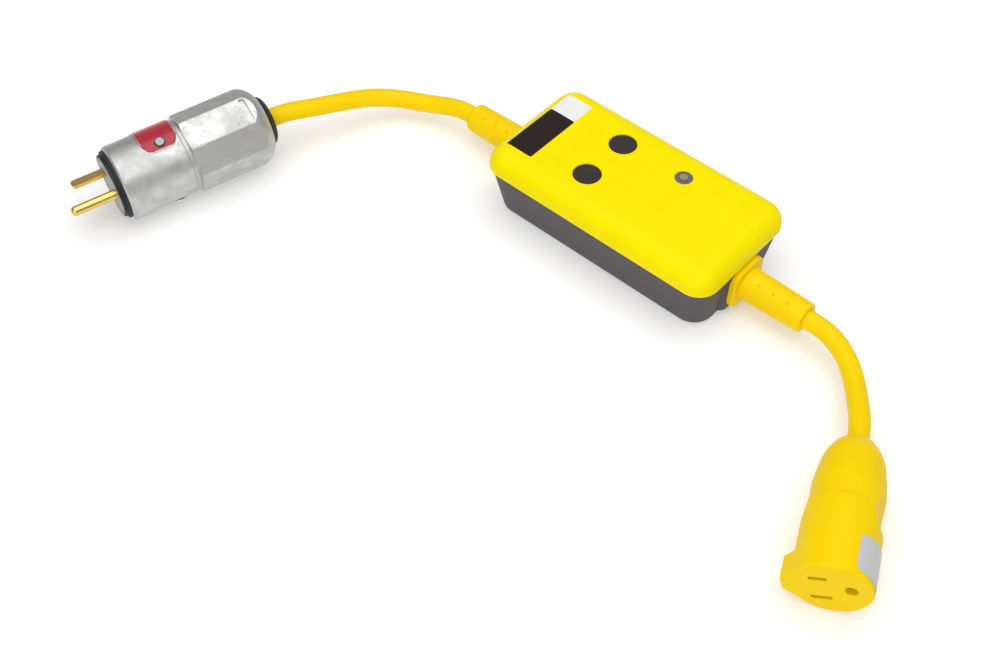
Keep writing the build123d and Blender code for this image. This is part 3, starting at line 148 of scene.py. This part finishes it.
# The studio: lengths in metres, angles in degrees.
FLOOR_REACH = 4.0
FLOOR_HEIGHT = -0.0002
OVERHEAD_PLACE = (0.05, -0.05, 1.0)
OVERHEAD_AIM = (0.0, -0.08, 0.0)
OVERHEAD_SIZE = 1.3
FILL_PLACE = (0.35, -1.0, 0.55)
FILL_AIM = (0.0, -0.1, 0.0)
FILL_SIZE = 0.9
FILL_SHARE = 0.38
SENSOR_WIDTH = 36.0
NEAREST_SEEN = 0.01
CAMERA_TURN = 41.713
CAMERA_LIFT = 50.997
CAMERA_DISTANCE = 0.579584
CAMERA_TARGET = (0.006152, -0.098736, 0.020)


class Wire:
    """A shader output that takes part in sums, with numbers or with other outputs."""

    def __init__(self, finish, socket):
        self.finish = finish
        self.socket = socket

    def _math(self, operation, first, second=None):
        inputs = {0: first} if second is None else {0: first, 1: second}
        return self.finish.node("ShaderNodeMath", {"operation": operation}, inputs)["Value"]

    def __add__(self, other):
        return self._math("ADD", self, other)

    def __radd__(self, other):
        return self._math("ADD", other, self)

    def __sub__(self, other):
        return self._math("SUBTRACT", self, other)

    def __rsub__(self, other):
        return self._math("SUBTRACT", other, self)

    def __mul__(self, other):
        return self._math("MULTIPLY", self, other)

    def __rmul__(self, other):
        return self._math("MULTIPLY", other, self)

    def __abs__(self):
        return self._math("ABSOLUTE", self)

    def most(self, other):
        """The larger of this and another."""
        return self._math("MAXIMUM", self, other)

    def least(self, other):
        """The smaller of this and another."""
        return self._math("MINIMUM", self, other)

    def reach(self, other):
        """Length of the hypotenuse over this and another."""
        return self._math("SQRT", self * self + other * other)

    def turn_of(self, other):
        """Angle of the point (this, other) round the origin."""
        return self._math("ARCTAN2", other, self)


class Outputs:
    """The outputs of one node, by name or place."""

    def __init__(self, finish, node):
        self.finish = finish
        self.node = node

    def __getitem__(self, key):
        return Wire(self.finish, self.node.outputs[key])


class Finish:
    """One procedural material, read in object coordinates."""

    def __init__(self, name, roughness=0.5, metallic=0.0, **constants):
        self.material = bpy.data.materials.new(name)
        self.material.use_nodes = True
        self.tree = self.material.node_tree
        self.tree.nodes.clear()
        sockets = {"Roughness": roughness, "Metallic": metallic}
        sockets.update(constants)
        self.shader = self.node("ShaderNodeBsdfPrincipled", {}, sockets)
        self.node("ShaderNodeOutputMaterial", {}, {"Surface": self.shader["BSDF"]})
        self.place = self.node("ShaderNodeTexCoord", {}, {})["Object"]

    def node(self, kind, settings, inputs):
        """Add a node: its settings first, then the value or link of each socket."""
        made = self.tree.nodes.new(kind)
        for key, value in settings.items():
            setattr(made, key, value)
        for key, value in inputs.items():
            if isinstance(value, Wire):
                self.tree.links.new(value.socket, made.inputs[key])
            else:
                made.inputs[key].default_value = value
        return Outputs(self, made)

    def set(self, name, value):
        """Link or set one of the shader's own sockets."""
        socket = self.shader.node.inputs[name]
        if isinstance(value, Wire):
            self.tree.links.new(value.socket, socket)
        else:
            socket.default_value = value

    def noise(self, size, detail=MEDIUM, stretch=(1.0, 1.0, 1.0)):
        """Cloudy noise whose features are about size metres across."""
        inputs = {"Vector": self.place, "Scale": stretch}
        place = self.node("ShaderNodeMapping", {}, inputs)["Vector"]
        settings = {"Vector": place, "Scale": 1.0 / size, "Detail": detail}
        return self.node("ShaderNodeTexNoise", {}, settings)[0]

    def along(self, origin, axis):
        """Distance in metres from an origin along an axis."""
        inputs = {0: self.place, 1: tuple(origin)}
        away = self.node("ShaderNodeVectorMath", {"operation": "SUBTRACT"}, inputs)["Vector"]
        inputs = {0: away, 1: tuple(axis)}
        return self.node("ShaderNodeVectorMath", {"operation": "DOT_PRODUCT"}, inputs)["Value"]

    def rise(self, value, low, high):
        """A share that grows smoothly from none at low to all at high."""
        inputs = {"Value": value, "From Min": low, "From Max": high}
        settings = {"interpolation_type": "SMOOTHSTEP"}
        return self.node("ShaderNodeMapRange", settings, inputs)["Result"]

    def mix(self, share, first, second):
        """A colour between two, by a share."""
        inputs = {0: share, 6: first, 7: second}
        return self.node("ShaderNodeMix", {"data_type": "RGBA"}, inputs)[2]

    def bump(self, height, depth):
        """Surface relief of a height field, depth metres deep."""
        inputs = {"Height": height, "Distance": depth, "Strength": 1.0}
        self.set("Normal", self.node("ShaderNodeBump", {}, inputs)["Normal"])


def rgba(colour, factor=1.0):
    """A colour with its brightness scaled, opaque."""
    return tuple(min(1.0, channel * factor) for channel in colour[:3]) + (1.0,)


def far_frame(route, turn):
    """Origin and three axes of the piece at a route's far end: two across, then one outwards."""
    out = (route[-1] - route[-2]) / np.linalg.norm(route[-1] - route[-2])
    level = np.array([-out[1], out[0], 0.0]) / np.hypot(out[0], out[1])
    upward = np.cross(out, level)
    across = level * np.cos(turn) + upward * np.sin(turn)
    return route[-1], across, np.cross(out, across), out


def smooth_moulding(name, colour, roughness, grain, relief, gloss=0.3):
    """Moulded plastic or rubber: faint clouds of tone, a fine skin and long thin scuffs."""
    finish = Finish(name, roughness=roughness, **{"Specular IOR Level": gloss})
    cloud_size, scuff_size, scuff_stretch = 0.012, 0.003, (1.0, 0.18, 1.0)
    clouds = finish.noise(cloud_size, COARSE)
    skin = finish.noise(grain, FINE)
    scuffs = finish.rise(finish.noise(scuff_size, FINEST, scuff_stretch), 0.62, 0.78)
    tone = finish.mix(clouds, rgba(colour, 0.95), rgba(colour, 1.04))
    finish.set("Base Color", finish.mix(scuffs * 0.12, tone, rgba(colour, 0.8)))
    finish.set("Roughness", clouds * 0.10 + scuffs * 0.12 + (roughness - 0.05))
    finish.bump(skin, relief)
    return finish.material


def spark_textured(name, colour):
    """Case plastic with a spark-eroded mould's pebbled skin, dusty low down, and a painted shadow at
    its top under the cover's overhanging edge.
    """
    finish = Finish(name, roughness=0.55, **{"Specular IOR Level": 0.3})
    cloud_size, pebbles_per_metre = 0.009, 1900.0
    inputs = {"Vector": finish.place, "Scale": pebbles_per_metre}
    settings = {"feature": "SMOOTH_F1"}
    pebbles = finish.node("ShaderNodeTexVoronoi", settings, inputs)["Distance"]
    clouds = finish.noise(cloud_size)
    height = finish.along(ORIGIN, ALONG_Z)
    dust = finish.rise(height, DUST_HEIGHT, 0.0)
    # Painted shadow: the case goes near black just under the cover's overhanging edge.
    overhang_shadow = finish.rise(height, *OVERHANG_SHADOW_HEIGHTS)
    tone = finish.mix(clouds, rgba(colour, 0.92), rgba(colour, 1.08))
    tone = finish.mix(overhang_shadow * 0.8, tone, OVERHANG_SHADOW_DARK)
    finish.set("Base Color", finish.mix(dust * clouds * 0.5, tone, rgba(colour, 1.6)))
    finish.set("Roughness", clouds * 0.12 + 0.5)
    finish.bump(pebbles + clouds * 0.5, 0.00004)
    return finish.material


def indicator_plastic(name, rim, middle, centre, radius):
    """Smoked lens, dark round its rim and paler where the lamp sits under it."""
    finish = Finish(name, roughness=0.22, **{"Specular IOR Level": 0.4})
    cloud_size, ripple = 0.0012, 0.0004
    x = finish.along(centre, ALONG_X)
    y = finish.along(centre, ALONG_Y)
    clouds = finish.noise(cloud_size, COARSE)
    ring = finish.rise(x.reach(y) + clouds * ripple, radius * 0.85, radius * 1.1)
    finish.set("Base Color", finish.mix(ring, rgba(middle), rgba(rim)))
    finish.set("Roughness", clouds * 0.1 + 0.18)
    finish.bump(clouds, 0.00002)
    return finish.material


def enamelled_plate(name, colour, metal):
    """Red enamel inside a bare raised rim.

    The plate is unrolled to a rectangle with rounded corners. The distance to its edge is how far a
    point is past the corner circles' centres, less their radius, and the rim is where it is small.
    """
    finish = Finish(name, roughness=0.3, **{"Coat Roughness": 0.08, "Specular IOR Level": 0.4})
    rim_inner, rim_outer, cloud_size, wear_size = -0.0009, -0.0006, 0.004, 0.0016
    origin, across, other, out = far_frame(LINE_ROUTE, np.radians(PLATE_MIDDLE_TURN))
    turn = finish.along(origin, across).turn_of(finish.along(origin, other))
    round_shell = abs(turn * PLATE_RADIUS) - (PLATE_HALF_WIDTH - PLATE_CORNER)
    on_length = abs(finish.along(origin + out * PLATE_AT, out))
    on_length = on_length - (PLATE_HALF_LENGTH - PLATE_CORNER)
    edge = round_shell.most(0.0).reach(on_length.most(0.0)) - PLATE_CORNER
    edge = edge + round_shell.most(on_length).least(0.0)
    rim = finish.rise(edge, rim_inner, rim_outer)
    clouds = finish.noise(cloud_size)
    wear = finish.rise(finish.noise(wear_size, FINEST), 0.66, 0.74)
    enamel = finish.mix(clouds, rgba(colour, 0.8), rgba(colour, 1.15))
    enamel = finish.mix(wear * 0.3, enamel, rgba(colour, 0.45))
    finish.set("Base Color", finish.mix(rim, enamel, rgba(metal)))
    finish.set("Metallic", rim)
    finish.set("Roughness", clouds * 0.15 + 0.25)
    finish.set("Coat Weight", (1.0 - rim) * 0.3)
    finish.bump(rim + clouds * 0.1, 0.00008)
    return finish.material


def headed_steel(name, colour, places, radius, route_frame):
    """Plated heads with a painted shadow round their rims: dark past a radius from each one's own axis.

    Behind a head's axis the distance is made large, so it marks nothing on the far side.
    """
    finish = Finish(name, roughness=0.3, metallic=1.0)
    streak_size, behind = 0.0009, 0.002
    origin, across, other, out = route_frame
    streaks = finish.noise(streak_size)
    rim = None
    for at, turn in places:
        side = np.cross(across * np.cos(turn) + other * np.sin(turn), out)
        middle = origin + out * at
        outward = np.cross(out, side)
        here = finish.along(middle, side).reach(finish.along(middle, out))
        here = here + finish.rise(finish.along(middle, outward), behind, 0.0)
        rim = here if rim is None else rim.least(here)
    # Painted shadow: each head darkens towards its rim, where it meets the plate.
    dark = finish.rise(rim, radius * 0.72, radius * 0.98)
    tone = finish.mix(streaks, rgba(colour, 0.85), rgba(colour, 1.1))
    finish.set("Base Color", finish.mix(dark * 0.85, tone, rgba(colour, 0.18)))
    finish.set("Roughness", streaks * 0.2 + 0.35)
    finish.bump(streaks, 0.00003)
    return finish.material


def grey_insert(name, colour):
    """Moulded face between the pins: pale grey clouds, with painted shade darkening it towards its edge
    inside the shell's rim.
    """
    finish = Finish(name, roughness=0.5, **{"Specular IOR Level": 0.35})
    origin, across, other, _ = far_frame(LINE_ROUTE, 0.0)
    cloud_size, ripple, shade_free_radius, full_shade_radius = 0.003, 0.002, 0.0135, 0.0165
    x = finish.along(origin, across)
    y = finish.along(origin, other)
    clouds = finish.noise(cloud_size)
    # Painted shade: the face goes near black towards its edge, in the recess inside the shell's rim.
    edge = finish.rise(x.reach(y) + clouds * ripple, shade_free_radius, full_shade_radius)
    tone = finish.mix(clouds, rgba(colour, 0.85), rgba(colour, 1.15))
    finish.set("Base Color", finish.mix(edge, tone, INSERT_EDGE_SHADE))
    finish.set("Roughness", clouds * 0.2 + 0.4)
    finish.bump(clouds, 0.00008)
    return finish.material


def cast_metal(name, colour):
    """Tumbled casting: dull and bright clouds, a pebbled skin and small pits."""
    finish = Finish(name, roughness=0.4, metallic=1.0)
    broad_size, cloud_size, skin_size, pit_size = 0.014, 0.0045, 0.0008, 0.0018
    broad = finish.noise(broad_size, COARSE)
    clouds = finish.noise(cloud_size, FINE)
    skin = finish.noise(skin_size, FINEST)
    pits = finish.rise(finish.noise(pit_size, FINEST), 0.66, 0.76)
    dull = finish.rise(broad + clouds * 0.6, 0.6, 1.0)
    tone = finish.mix(dull, rgba(colour, 1.12), rgba(colour, 0.86))
    tone = finish.mix(skin, tone, rgba(colour, 0.92))
    finish.set("Base Color", finish.mix(pits * 0.35, tone, rgba(colour, 0.45)))
    finish.set("Roughness", dull * 0.16 + skin * 0.1 + 0.34)
    finish.bump(skin * 0.5 + clouds - pits * 0.5, 0.00018)
    return finish.material


def drawn_metal(name, colour, roughness, stretch):
    """Drawn or stamped metal: fine streaks along the piece."""
    finish = Finish(name, roughness=roughness, metallic=1.0)
    streak_size = 0.0012
    streaks = finish.noise(streak_size, MEDIUM, stretch)
    finish.set("Base Color", finish.mix(streaks, rgba(colour, 0.88), rgba(colour, 1.08)))
    finish.set("Roughness", streaks * 0.16 + (roughness - 0.06))
    finish.bump(streaks, 0.00002)
    return finish.material


def wound_wire(name, colour):
    """Enamelled winding: round wires side by side across X."""
    finish = Finish(name, roughness=0.3, metallic=0.7)
    bands_per_metre = 900.0
    inputs = {"Vector": finish.place, "Scale": bands_per_metre, "Distortion": 0.4}
    bands = finish.node("ShaderNodeTexWave", {"bands_direction": "X"}, inputs)[1]
    finish.set("Base Color", finish.mix(bands, rgba(colour, 0.55), rgba(colour, 1.1)))
    finish.bump(bands, 0.0001)
    return finish.material


def clear_moulding(name, colour, roughness, transmission):
    """Clear or tinted epoxy with a slight cloud in it."""
    optics = {"Transmission Weight": transmission, "IOR": 1.49}
    finish = Finish(name, roughness=roughness, **optics)
    cloud_size = 0.004
    clouds = finish.noise(cloud_size, COARSE)
    finish.set("Base Color", finish.mix(clouds, rgba(colour, 0.9), rgba(colour, 1.08)))
    finish.bump(clouds, 0.00003)
    return finish.material


def lacquered_board(name, colour):
    """Lacquered laminate: woven glass, with paler raised tracks under the mask."""
    finish = Finish(name, roughness=0.35, **{"Coat Weight": 0.3})
    threads_per_metre = 1400.0
    inputs = {"Vector": finish.place, "Scale": threads_per_metre}
    weave = finish.node("ShaderNodeTexChecker", {}, inputs)[1]
    inputs = {
        "Vector": finish.place,
        "Scale": 1.0,
        "Mortar Size": 0.0004,
        "Brick Width": 0.0085,
        "Row Height": 0.0026,
    }
    tracks = finish.node("ShaderNodeTexBrick", {}, inputs)[1]
    tone = finish.mix(weave, rgba(colour, 0.9), rgba(colour, 1.15))
    finish.set("Base Color", finish.mix(tracks, tone, rgba(colour, 2.0)))
    finish.bump(tracks + weave * 0.2, 0.00003)
    return finish.material


def label_film(name, colour, roughness):
    """Printed film, left bare: even colour, faint mottle, fine rubs and a satin skin."""
    finish = Finish(name, roughness=roughness, **{"Specular IOR Level": 0.2})
    mottle_size, rub_size, rub_stretch = 0.0025, 0.002, (0.2, 1.0, 1.0)
    mottle = finish.noise(mottle_size)
    rubs = finish.rise(finish.noise(rub_size, FINEST, rub_stretch), 0.63, 0.75)
    tone = finish.mix(mottle, rgba(colour, 0.93), rgba(colour, 1.05))
    worn = tuple(channel * 0.9 + 0.03 for channel in colour) + (1.0,)
    finish.set("Base Color", finish.mix(rubs * 0.35, tone, worn))
    finish.set("Roughness", mottle * 0.12 + rubs * 0.1 + (roughness - 0.05))
    finish.bump(mottle, 0.00001)
    return finish.material


def floor_paint(name, brightness, glow):
    """Pale matt studio floor that glows a little, so shadows on it stay faint."""
    glowing = {"Emission Color": WHITE, "Emission Strength": glow}
    finish = Finish(name, roughness=0.9, **glowing)
    cloud_size = 0.3
    clouds = finish.noise(cloud_size, COARSE)
    tone = (brightness, brightness, brightness)
    finish.set("Base Color", finish.mix(clouds, rgba(tone, 0.99), rgba(tone, 1.01)))
    return finish.material


def dress(nodes, material):
    """Give one material to the slots of several CAD nodes."""
    for name in nodes:
        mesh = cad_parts[name].data
        if not mesh.materials:
            mesh.materials.append(material)
        for index in range(len(mesh.materials)):
            mesh.materials[index] = material
        mesh.shade_smooth()
        mesh.set_sharp_from_angle(angle=SHARP_BEND)


def cord_curve(name, route, radius, material):
    """A smooth cord: a NURBS spline of order three whose control points are the route's points."""
    curve = bpy.data.curves.new(name, "CURVE")
    curve.dimensions = "3D"
    curve.bevel_depth = radius
    curve.bevel_resolution = 8
    curve.resolution_u = 16
    curve.use_fill_caps = True
    spline = curve.splines.new("NURBS")
    spline.points.add(len(route) - 1)
    spline.points.foreach_set("co", np.column_stack([route, np.ones(len(route))]).ravel())
    spline.order_u = 3
    spline.use_endpoint_u = True
    curve.materials.append(material)
    cord = bpy.data.objects.new(name, curve)
    bpy.context.scene.collection.objects.link(cord)
    return cord


def colour_property(name, description, default):
    """A linear colour that a user may change."""
    return bpy.props.FloatVectorProperty(
        name=name, description=description, default=default, subtype="COLOR", min=0.0, max=1.0
    )


class BoxSettings(bpy.types.PropertyGroup):
    """Colours of the trip box."""

    cover: colour_property("Cover", "Colour of the moulded cover", (0.90, 0.755, 0.0))
    case: colour_property("Case", "Colour of the case", (0.083, 0.071, 0.078))
    button: colour_property("Buttons", "Colour of the buttons", (0.040, 0.032, 0.032))
    lens: colour_property("Lens", "Colour of the indicator lens", (0.15, 0.12, 0.135))


class CordSettings(bpy.types.PropertyGroup):
    """Sizes and colour of the cords and what is moulded with them."""

    diameter: bpy.props.FloatProperty(
        name="Diameter", description="Diameter of both cords", default=0.0091, unit="LENGTH"
    )
    jacket: colour_property("Jacket", "Colour of the cords and reliefs", (0.90, 0.625, 0.0))


class PlugSettings(bpy.types.PropertyGroup):
    """Colours of the plug."""

    metal: colour_property("Casting", "Colour of the cast shell", (0.57, 0.575, 0.56))
    plate: colour_property("Nameplate", "Colour of the enamelled plate", (0.43, 0.008, 0.028))
    brass: colour_property("Pins", "Colour of the pins", (0.80, 0.55, 0.17))


class StudioSettings(bpy.types.PropertyGroup):
    """Camera, lights and floor."""

    lens: bpy.props.FloatProperty(
        name="Lens", description="Focal length of the camera", default=48.71, unit="CAMERA"
    )
    floor: bpy.props.FloatProperty(
        name="Floor", description="Brightness of the floor", default=0.72, min=0.0, max=1.0
    )
    glow: bpy.props.FloatProperty(
        name="Glow", description="Light that the floor gives by itself", default=0.3, min=0.0
    )
    air: bpy.props.FloatProperty(
        name="Air", description="Strength of the even light from all round", default=0.36, min=0.0
    )
    key: bpy.props.FloatProperty(
        name="Key light", description="Power of the large light overhead", default=9.6, unit="POWER"
    )


class CORDSET_OT_box(bpy.types.Operator):
    """Finish the outside of the trip box"""

    bl_idname = "cordset.box"
    bl_label = "Trip box"

    def execute(self, context):
        settings = context.scene.cordset_box
        cover = smooth_moulding(
            "cover plastic", settings.cover, roughness=0.36, grain=0.0008, relief=0.00001, gloss=0.06
        )
        dress(["top_cover"], cover)
        dress(["bottom_case"], spark_textured("case plastic", settings.case))
        buttons = smooth_moulding(
            "button plastic", settings.button, roughness=0.5, grain=0.0006, relief=0.00001, gloss=0.12
        )
        dress(["reset_button", "test_button"], buttons)
        lens = indicator_plastic(
            "lens plastic", settings.lens, LENS_OLIVE, LENS_CENTRE, LENS_MIDDLE_RADIUS
        )
        dress(["indicator_lens"], lens)
        dress(["cover_label"], label_film("dark film", DARK_FILM, roughness=0.4))
        dress(["code_label"], label_film("white film", WHITE_FILM, roughness=0.45))
        return {"FINISHED"}


class CORDSET_OT_insides(bpy.types.Operator):
    """Finish the circuit board, relay and fixings inside the box"""

    bl_idname = "cordset.insides"
    bl_label = "Insides"

    def execute(self, context):
        steel = drawn_metal("zinc steel", ZINC, roughness=0.35, stretch=(1.0, 1.0, 0.2))
        iron = drawn_metal("soft iron", SOFT_IRON, roughness=0.45, stretch=(0.3, 1.0, 1.0))
        brass = drawn_metal("terminal brass", SHEET_BRASS, roughness=0.3, stretch=(0.2, 1.0, 1.0))
        black = smooth_moulding(
            "black moulding", BLACK_PLASTIC, roughness=0.45, grain=0.0005, relief=0.00002
        )
        white = smooth_moulding(
            "natural moulding", NATURAL_PLASTIC, roughness=0.4, grain=0.0005, relief=0.00001
        )
        copper = wound_wire("copper winding", COPPER)
        dress(["case_screws", "board_screws", "clamp_screws", "terminal_screws"], steel)
        dress(["cord_clamps", "reset_spring", "test_spring"], steel)
        dress(["relay_yoke", "relay_core", "relay_armature"], iron)
        dress(["terminals", "moving_contacts", "fixed_contacts"], brass)
        dress(["switch_bodies", "sensing_rings", "control_chip", "rectifier_diodes"], black)
        dress(["conductors", "case_gasket"], black)
        dress(["relay_base", "relay_bobbin", "relay_pusher"], white)
        dress(["reset_plunger", "test_plunger"], white)
        dress(["relay_coil", "primary_staples"], copper)
        dress(["circuit_board"], lacquered_board("board lacquer", BOARD_GREEN))
        dip = smooth_moulding(
            "blue dip", DIPPED_BLUE, roughness=0.3, grain=0.0006, relief=0.00002
        )
        dress(["surge_varistor"], dip)
        film = smooth_moulding(
            "film box", FILM_AMBER, roughness=0.3, grain=0.0006, relief=0.00001
        )
        dress(["filter_capacitor"], film)
        lamp = clear_moulding("lamp epoxy", CLEAR_EPOXY, roughness=0.1, transmission=0.6)
        dress(["indicator_lamp"], lamp)
        return {"FINISHED"}


class CORDSET_OT_cords(bpy.types.Operator):
    """Lay the two cords and finish their strain reliefs"""

    bl_idname = "cordset.cords"
    bl_label = "Cords"

    def execute(self, context):
        settings = context.scene.cordset_cords
        jacket = smooth_moulding(
            "cord jacket", settings.jacket, roughness=0.42, grain=0.0009, relief=0.00002, gloss=0.10
        )
        dress(["line_relief", "load_relief", "cord_tails", "plug_cord_tail"], jacket)
        radius = settings.diameter / 2
        for name, route, node, pieces, far_end in (
            ("line_lead", LINE_ROUTE, "line_cord", PLUG_PIECES, "plug"),
            ("load_lead", LOAD_ROUTE, "load_cord", CONNECTOR_PIECES, "connector"),
        ):
            lead = cord_curve(name, route, radius, jacket)
            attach(lead, "box")
            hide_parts(node)
            tuple(float(value) for value in route[0])
            [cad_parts[piece] for piece in pieces]
        return {"FINISHED"}


class CORDSET_OT_plug(bpy.types.Operator):
    """Finish the cast plug, its pins and its plate"""

    bl_idname = "cordset.plug"
    bl_label = "Plug"

    def execute(self, context):
        settings = context.scene.cordset_plug
        steel = drawn_metal("plug steel", BRIGHT_STEEL, roughness=0.28, stretch=(1.0, 1.0, 0.5))
        black = smooth_moulding(
            "black rubber", BLACK_RUBBER, roughness=0.55, grain=0.0005, relief=0.00002
        )
        dress(["plug_shell"], cast_metal("cast shell", settings.metal))
        dress(["plug_insert"], grey_insert("grey insert", INSERT_GREY))
        dress(["plug_gasket", "cord_bushing", "cord_grip"], black)
        dress(["plug_terminal_screws", "grip_screws", "shell_screw"], steel)
        plug_frame = far_frame(LINE_ROUTE, 0.0)
        places = [(PLATE_AT, np.radians(turn)) for turn in RIVET_TURNS]
        heads = headed_steel("rivet steel", RIVET_STEEL, places, RIVET_RADIUS, plug_frame)
        dress(["nameplate_rivets"], heads)
        dress(["nameplate"], enamelled_plate("red enamel", settings.plate, BARE_RIM))
        pins = drawn_metal("pin brass", settings.brass, roughness=0.22, stretch=(1.0, 0.15, 1.0))
        dress(["line_blade", "neutral_blade", "ground_pin"], pins)
        return {"FINISHED"}


class CORDSET_OT_connector(bpy.types.Operator):
    """Finish the moulded connector and its contacts"""

    bl_idname = "cordset.connector"
    bl_label = "Connector"

    def execute(self, context):
        jacket = context.scene.cordset_cords.jacket
        body = smooth_moulding(
            "connector rubber", jacket, roughness=0.42, grain=0.0009, relief=0.00002, gloss=0.08
        )
        dress(["connector_body"], body)
        dress(["connector_label"], label_film("grey film", GREY_FILM, roughness=0.4))
        carrier = smooth_moulding(
            "carrier moulding", jacket, roughness=0.5, grain=0.0005, relief=0.00002
        )
        dress(["contact_carrier"], carrier)
        brass = drawn_metal("contact brass", SHEET_BRASS, roughness=0.3, stretch=(1.0, 0.2, 1.0))
        dress(["socket_contacts"], brass)
        return {"FINISHED"}


def area_light(name, place, aim, size, power):
    """A square soft light at a place, turned to its aim."""
    lamp = bpy.data.lights.new(name, "AREA")
    lamp.size = size
    lamp.energy = power
    holder = bpy.data.objects.new(name, lamp)
    holder.location = place
    holder.rotation_euler = (Vector(aim) - Vector(place)).to_track_quat("-Z", "Y").to_euler()
    bpy.context.scene.collection.objects.link(holder)


class CORDSET_OT_studio(bpy.types.Operator):
    """Set the floor, the soft lights and the camera of the photograph"""

    bl_idname = "cordset.studio"
    bl_label = "Studio"

    def execute(self, context):
        settings = context.scene.cordset_studio
        scene = context.scene
        corners = FLOOR_REACH * np.array([(-1, -1), (1, -1), (1, 1), (-1, 1)])
        points = np.column_stack([corners, np.full(len(corners), FLOOR_HEIGHT)])
        mesh = bpy.data.meshes.new("floor")
        mesh.from_pydata(points.tolist(), [], [(0, 1, 2, 3)])
        mesh.materials.append(floor_paint("studio floor", settings.floor, settings.glow))
        floor = bpy.data.objects.new("floor", mesh)
        scene.collection.objects.link(floor)

        world = bpy.data.worlds.new("studio air")
        world.use_nodes = True
        background = world.node_tree.nodes["Background"]
        background.inputs["Color"].default_value = WHITE
        background.inputs["Strength"].default_value = settings.air
        scene.world = world
        area_light("overhead", OVERHEAD_PLACE, OVERHEAD_AIM, OVERHEAD_SIZE, settings.key)
        area_light("front fill", FILL_PLACE, FILL_AIM, FILL_SIZE, settings.key * FILL_SHARE)
        scene.view_settings.view_transform = "Standard"

        eye = bpy.data.cameras.new("photo camera")
        eye.sensor_width = SENSOR_WIDTH
        eye.lens = settings.lens
        eye.clip_start = NEAREST_SEEN
        camera = bpy.data.objects.new("photo camera", eye)
        azimuth, elevation = np.radians(CAMERA_TURN), np.radians(CAMERA_LIFT)
        ahead = Vector((
            -np.sin(azimuth) * np.cos(elevation),
            np.cos(azimuth) * np.cos(elevation),
            -np.sin(elevation),
        ))
        across = Vector((np.cos(azimuth), np.sin(azimuth), 0.0))
        above = across.cross(ahead)
        turn = Matrix((across, above, -ahead)).transposed().to_4x4()
        camera.matrix_world = Matrix.Translation(Vector(CAMERA_TARGET) - ahead * CAMERA_DISTANCE) @ turn
        scene.collection.objects.link(camera)
        scene.camera = camera
        return {"FINISHED"}


class CORDSET_PT_panel(bpy.types.Panel):
    """Buttons that build the cord set's looks"""

    bl_label = "Cord set"
    bl_space_type = "VIEW_3D"
    bl_region_type = "UI"
    bl_category = "Cord set"

    def draw(self, context):
        for operator in OPERATORS:
            self.layout.operator(operator.bl_idname)
        for name, group in SETTINGS:
            for key in group.__annotations__:
                self.layout.prop(getattr(context.scene, name), key)


OPERATORS = [
    CORDSET_OT_studio,
    CORDSET_OT_cords,
    CORDSET_OT_box,
    CORDSET_OT_insides,
    CORDSET_OT_plug,
    CORDSET_OT_connector,
]
SETTINGS = [
    ("cordset_box", BoxSettings),
    ("cordset_cords", CordSettings),
    ("cordset_plug", PlugSettings),
    ("cordset_studio", StudioSettings),
]


def register():
    """Make the settings, operators and panel known to Blender."""
    for name, group in SETTINGS:
        bpy.utils.register_class(group)
        setattr(bpy.types.Scene, name, bpy.props.PointerProperty(type=group))
    for kind in OPERATORS + [CORDSET_PT_panel]:
        bpy.utils.register_class(kind)


def unregister():
    """Take them out again in the opposite order."""
    for kind in [CORDSET_PT_panel] + OPERATORS[::-1]:
        bpy.utils.unregister_class(kind)
    for name, group in SETTINGS[::-1]:
        delattr(bpy.types.Scene, name)
        bpy.utils.unregister_class(group)


def main():
    """Build everything in order."""
    register()
    bpy.ops.cordset.studio()
    bpy.ops.cordset.cords()
    bpy.ops.cordset.box()
    bpy.ops.cordset.insides()
    bpy.ops.cordset.plug()
    bpy.ops.cordset.connector()


if __name__ == "__main__":
    main()
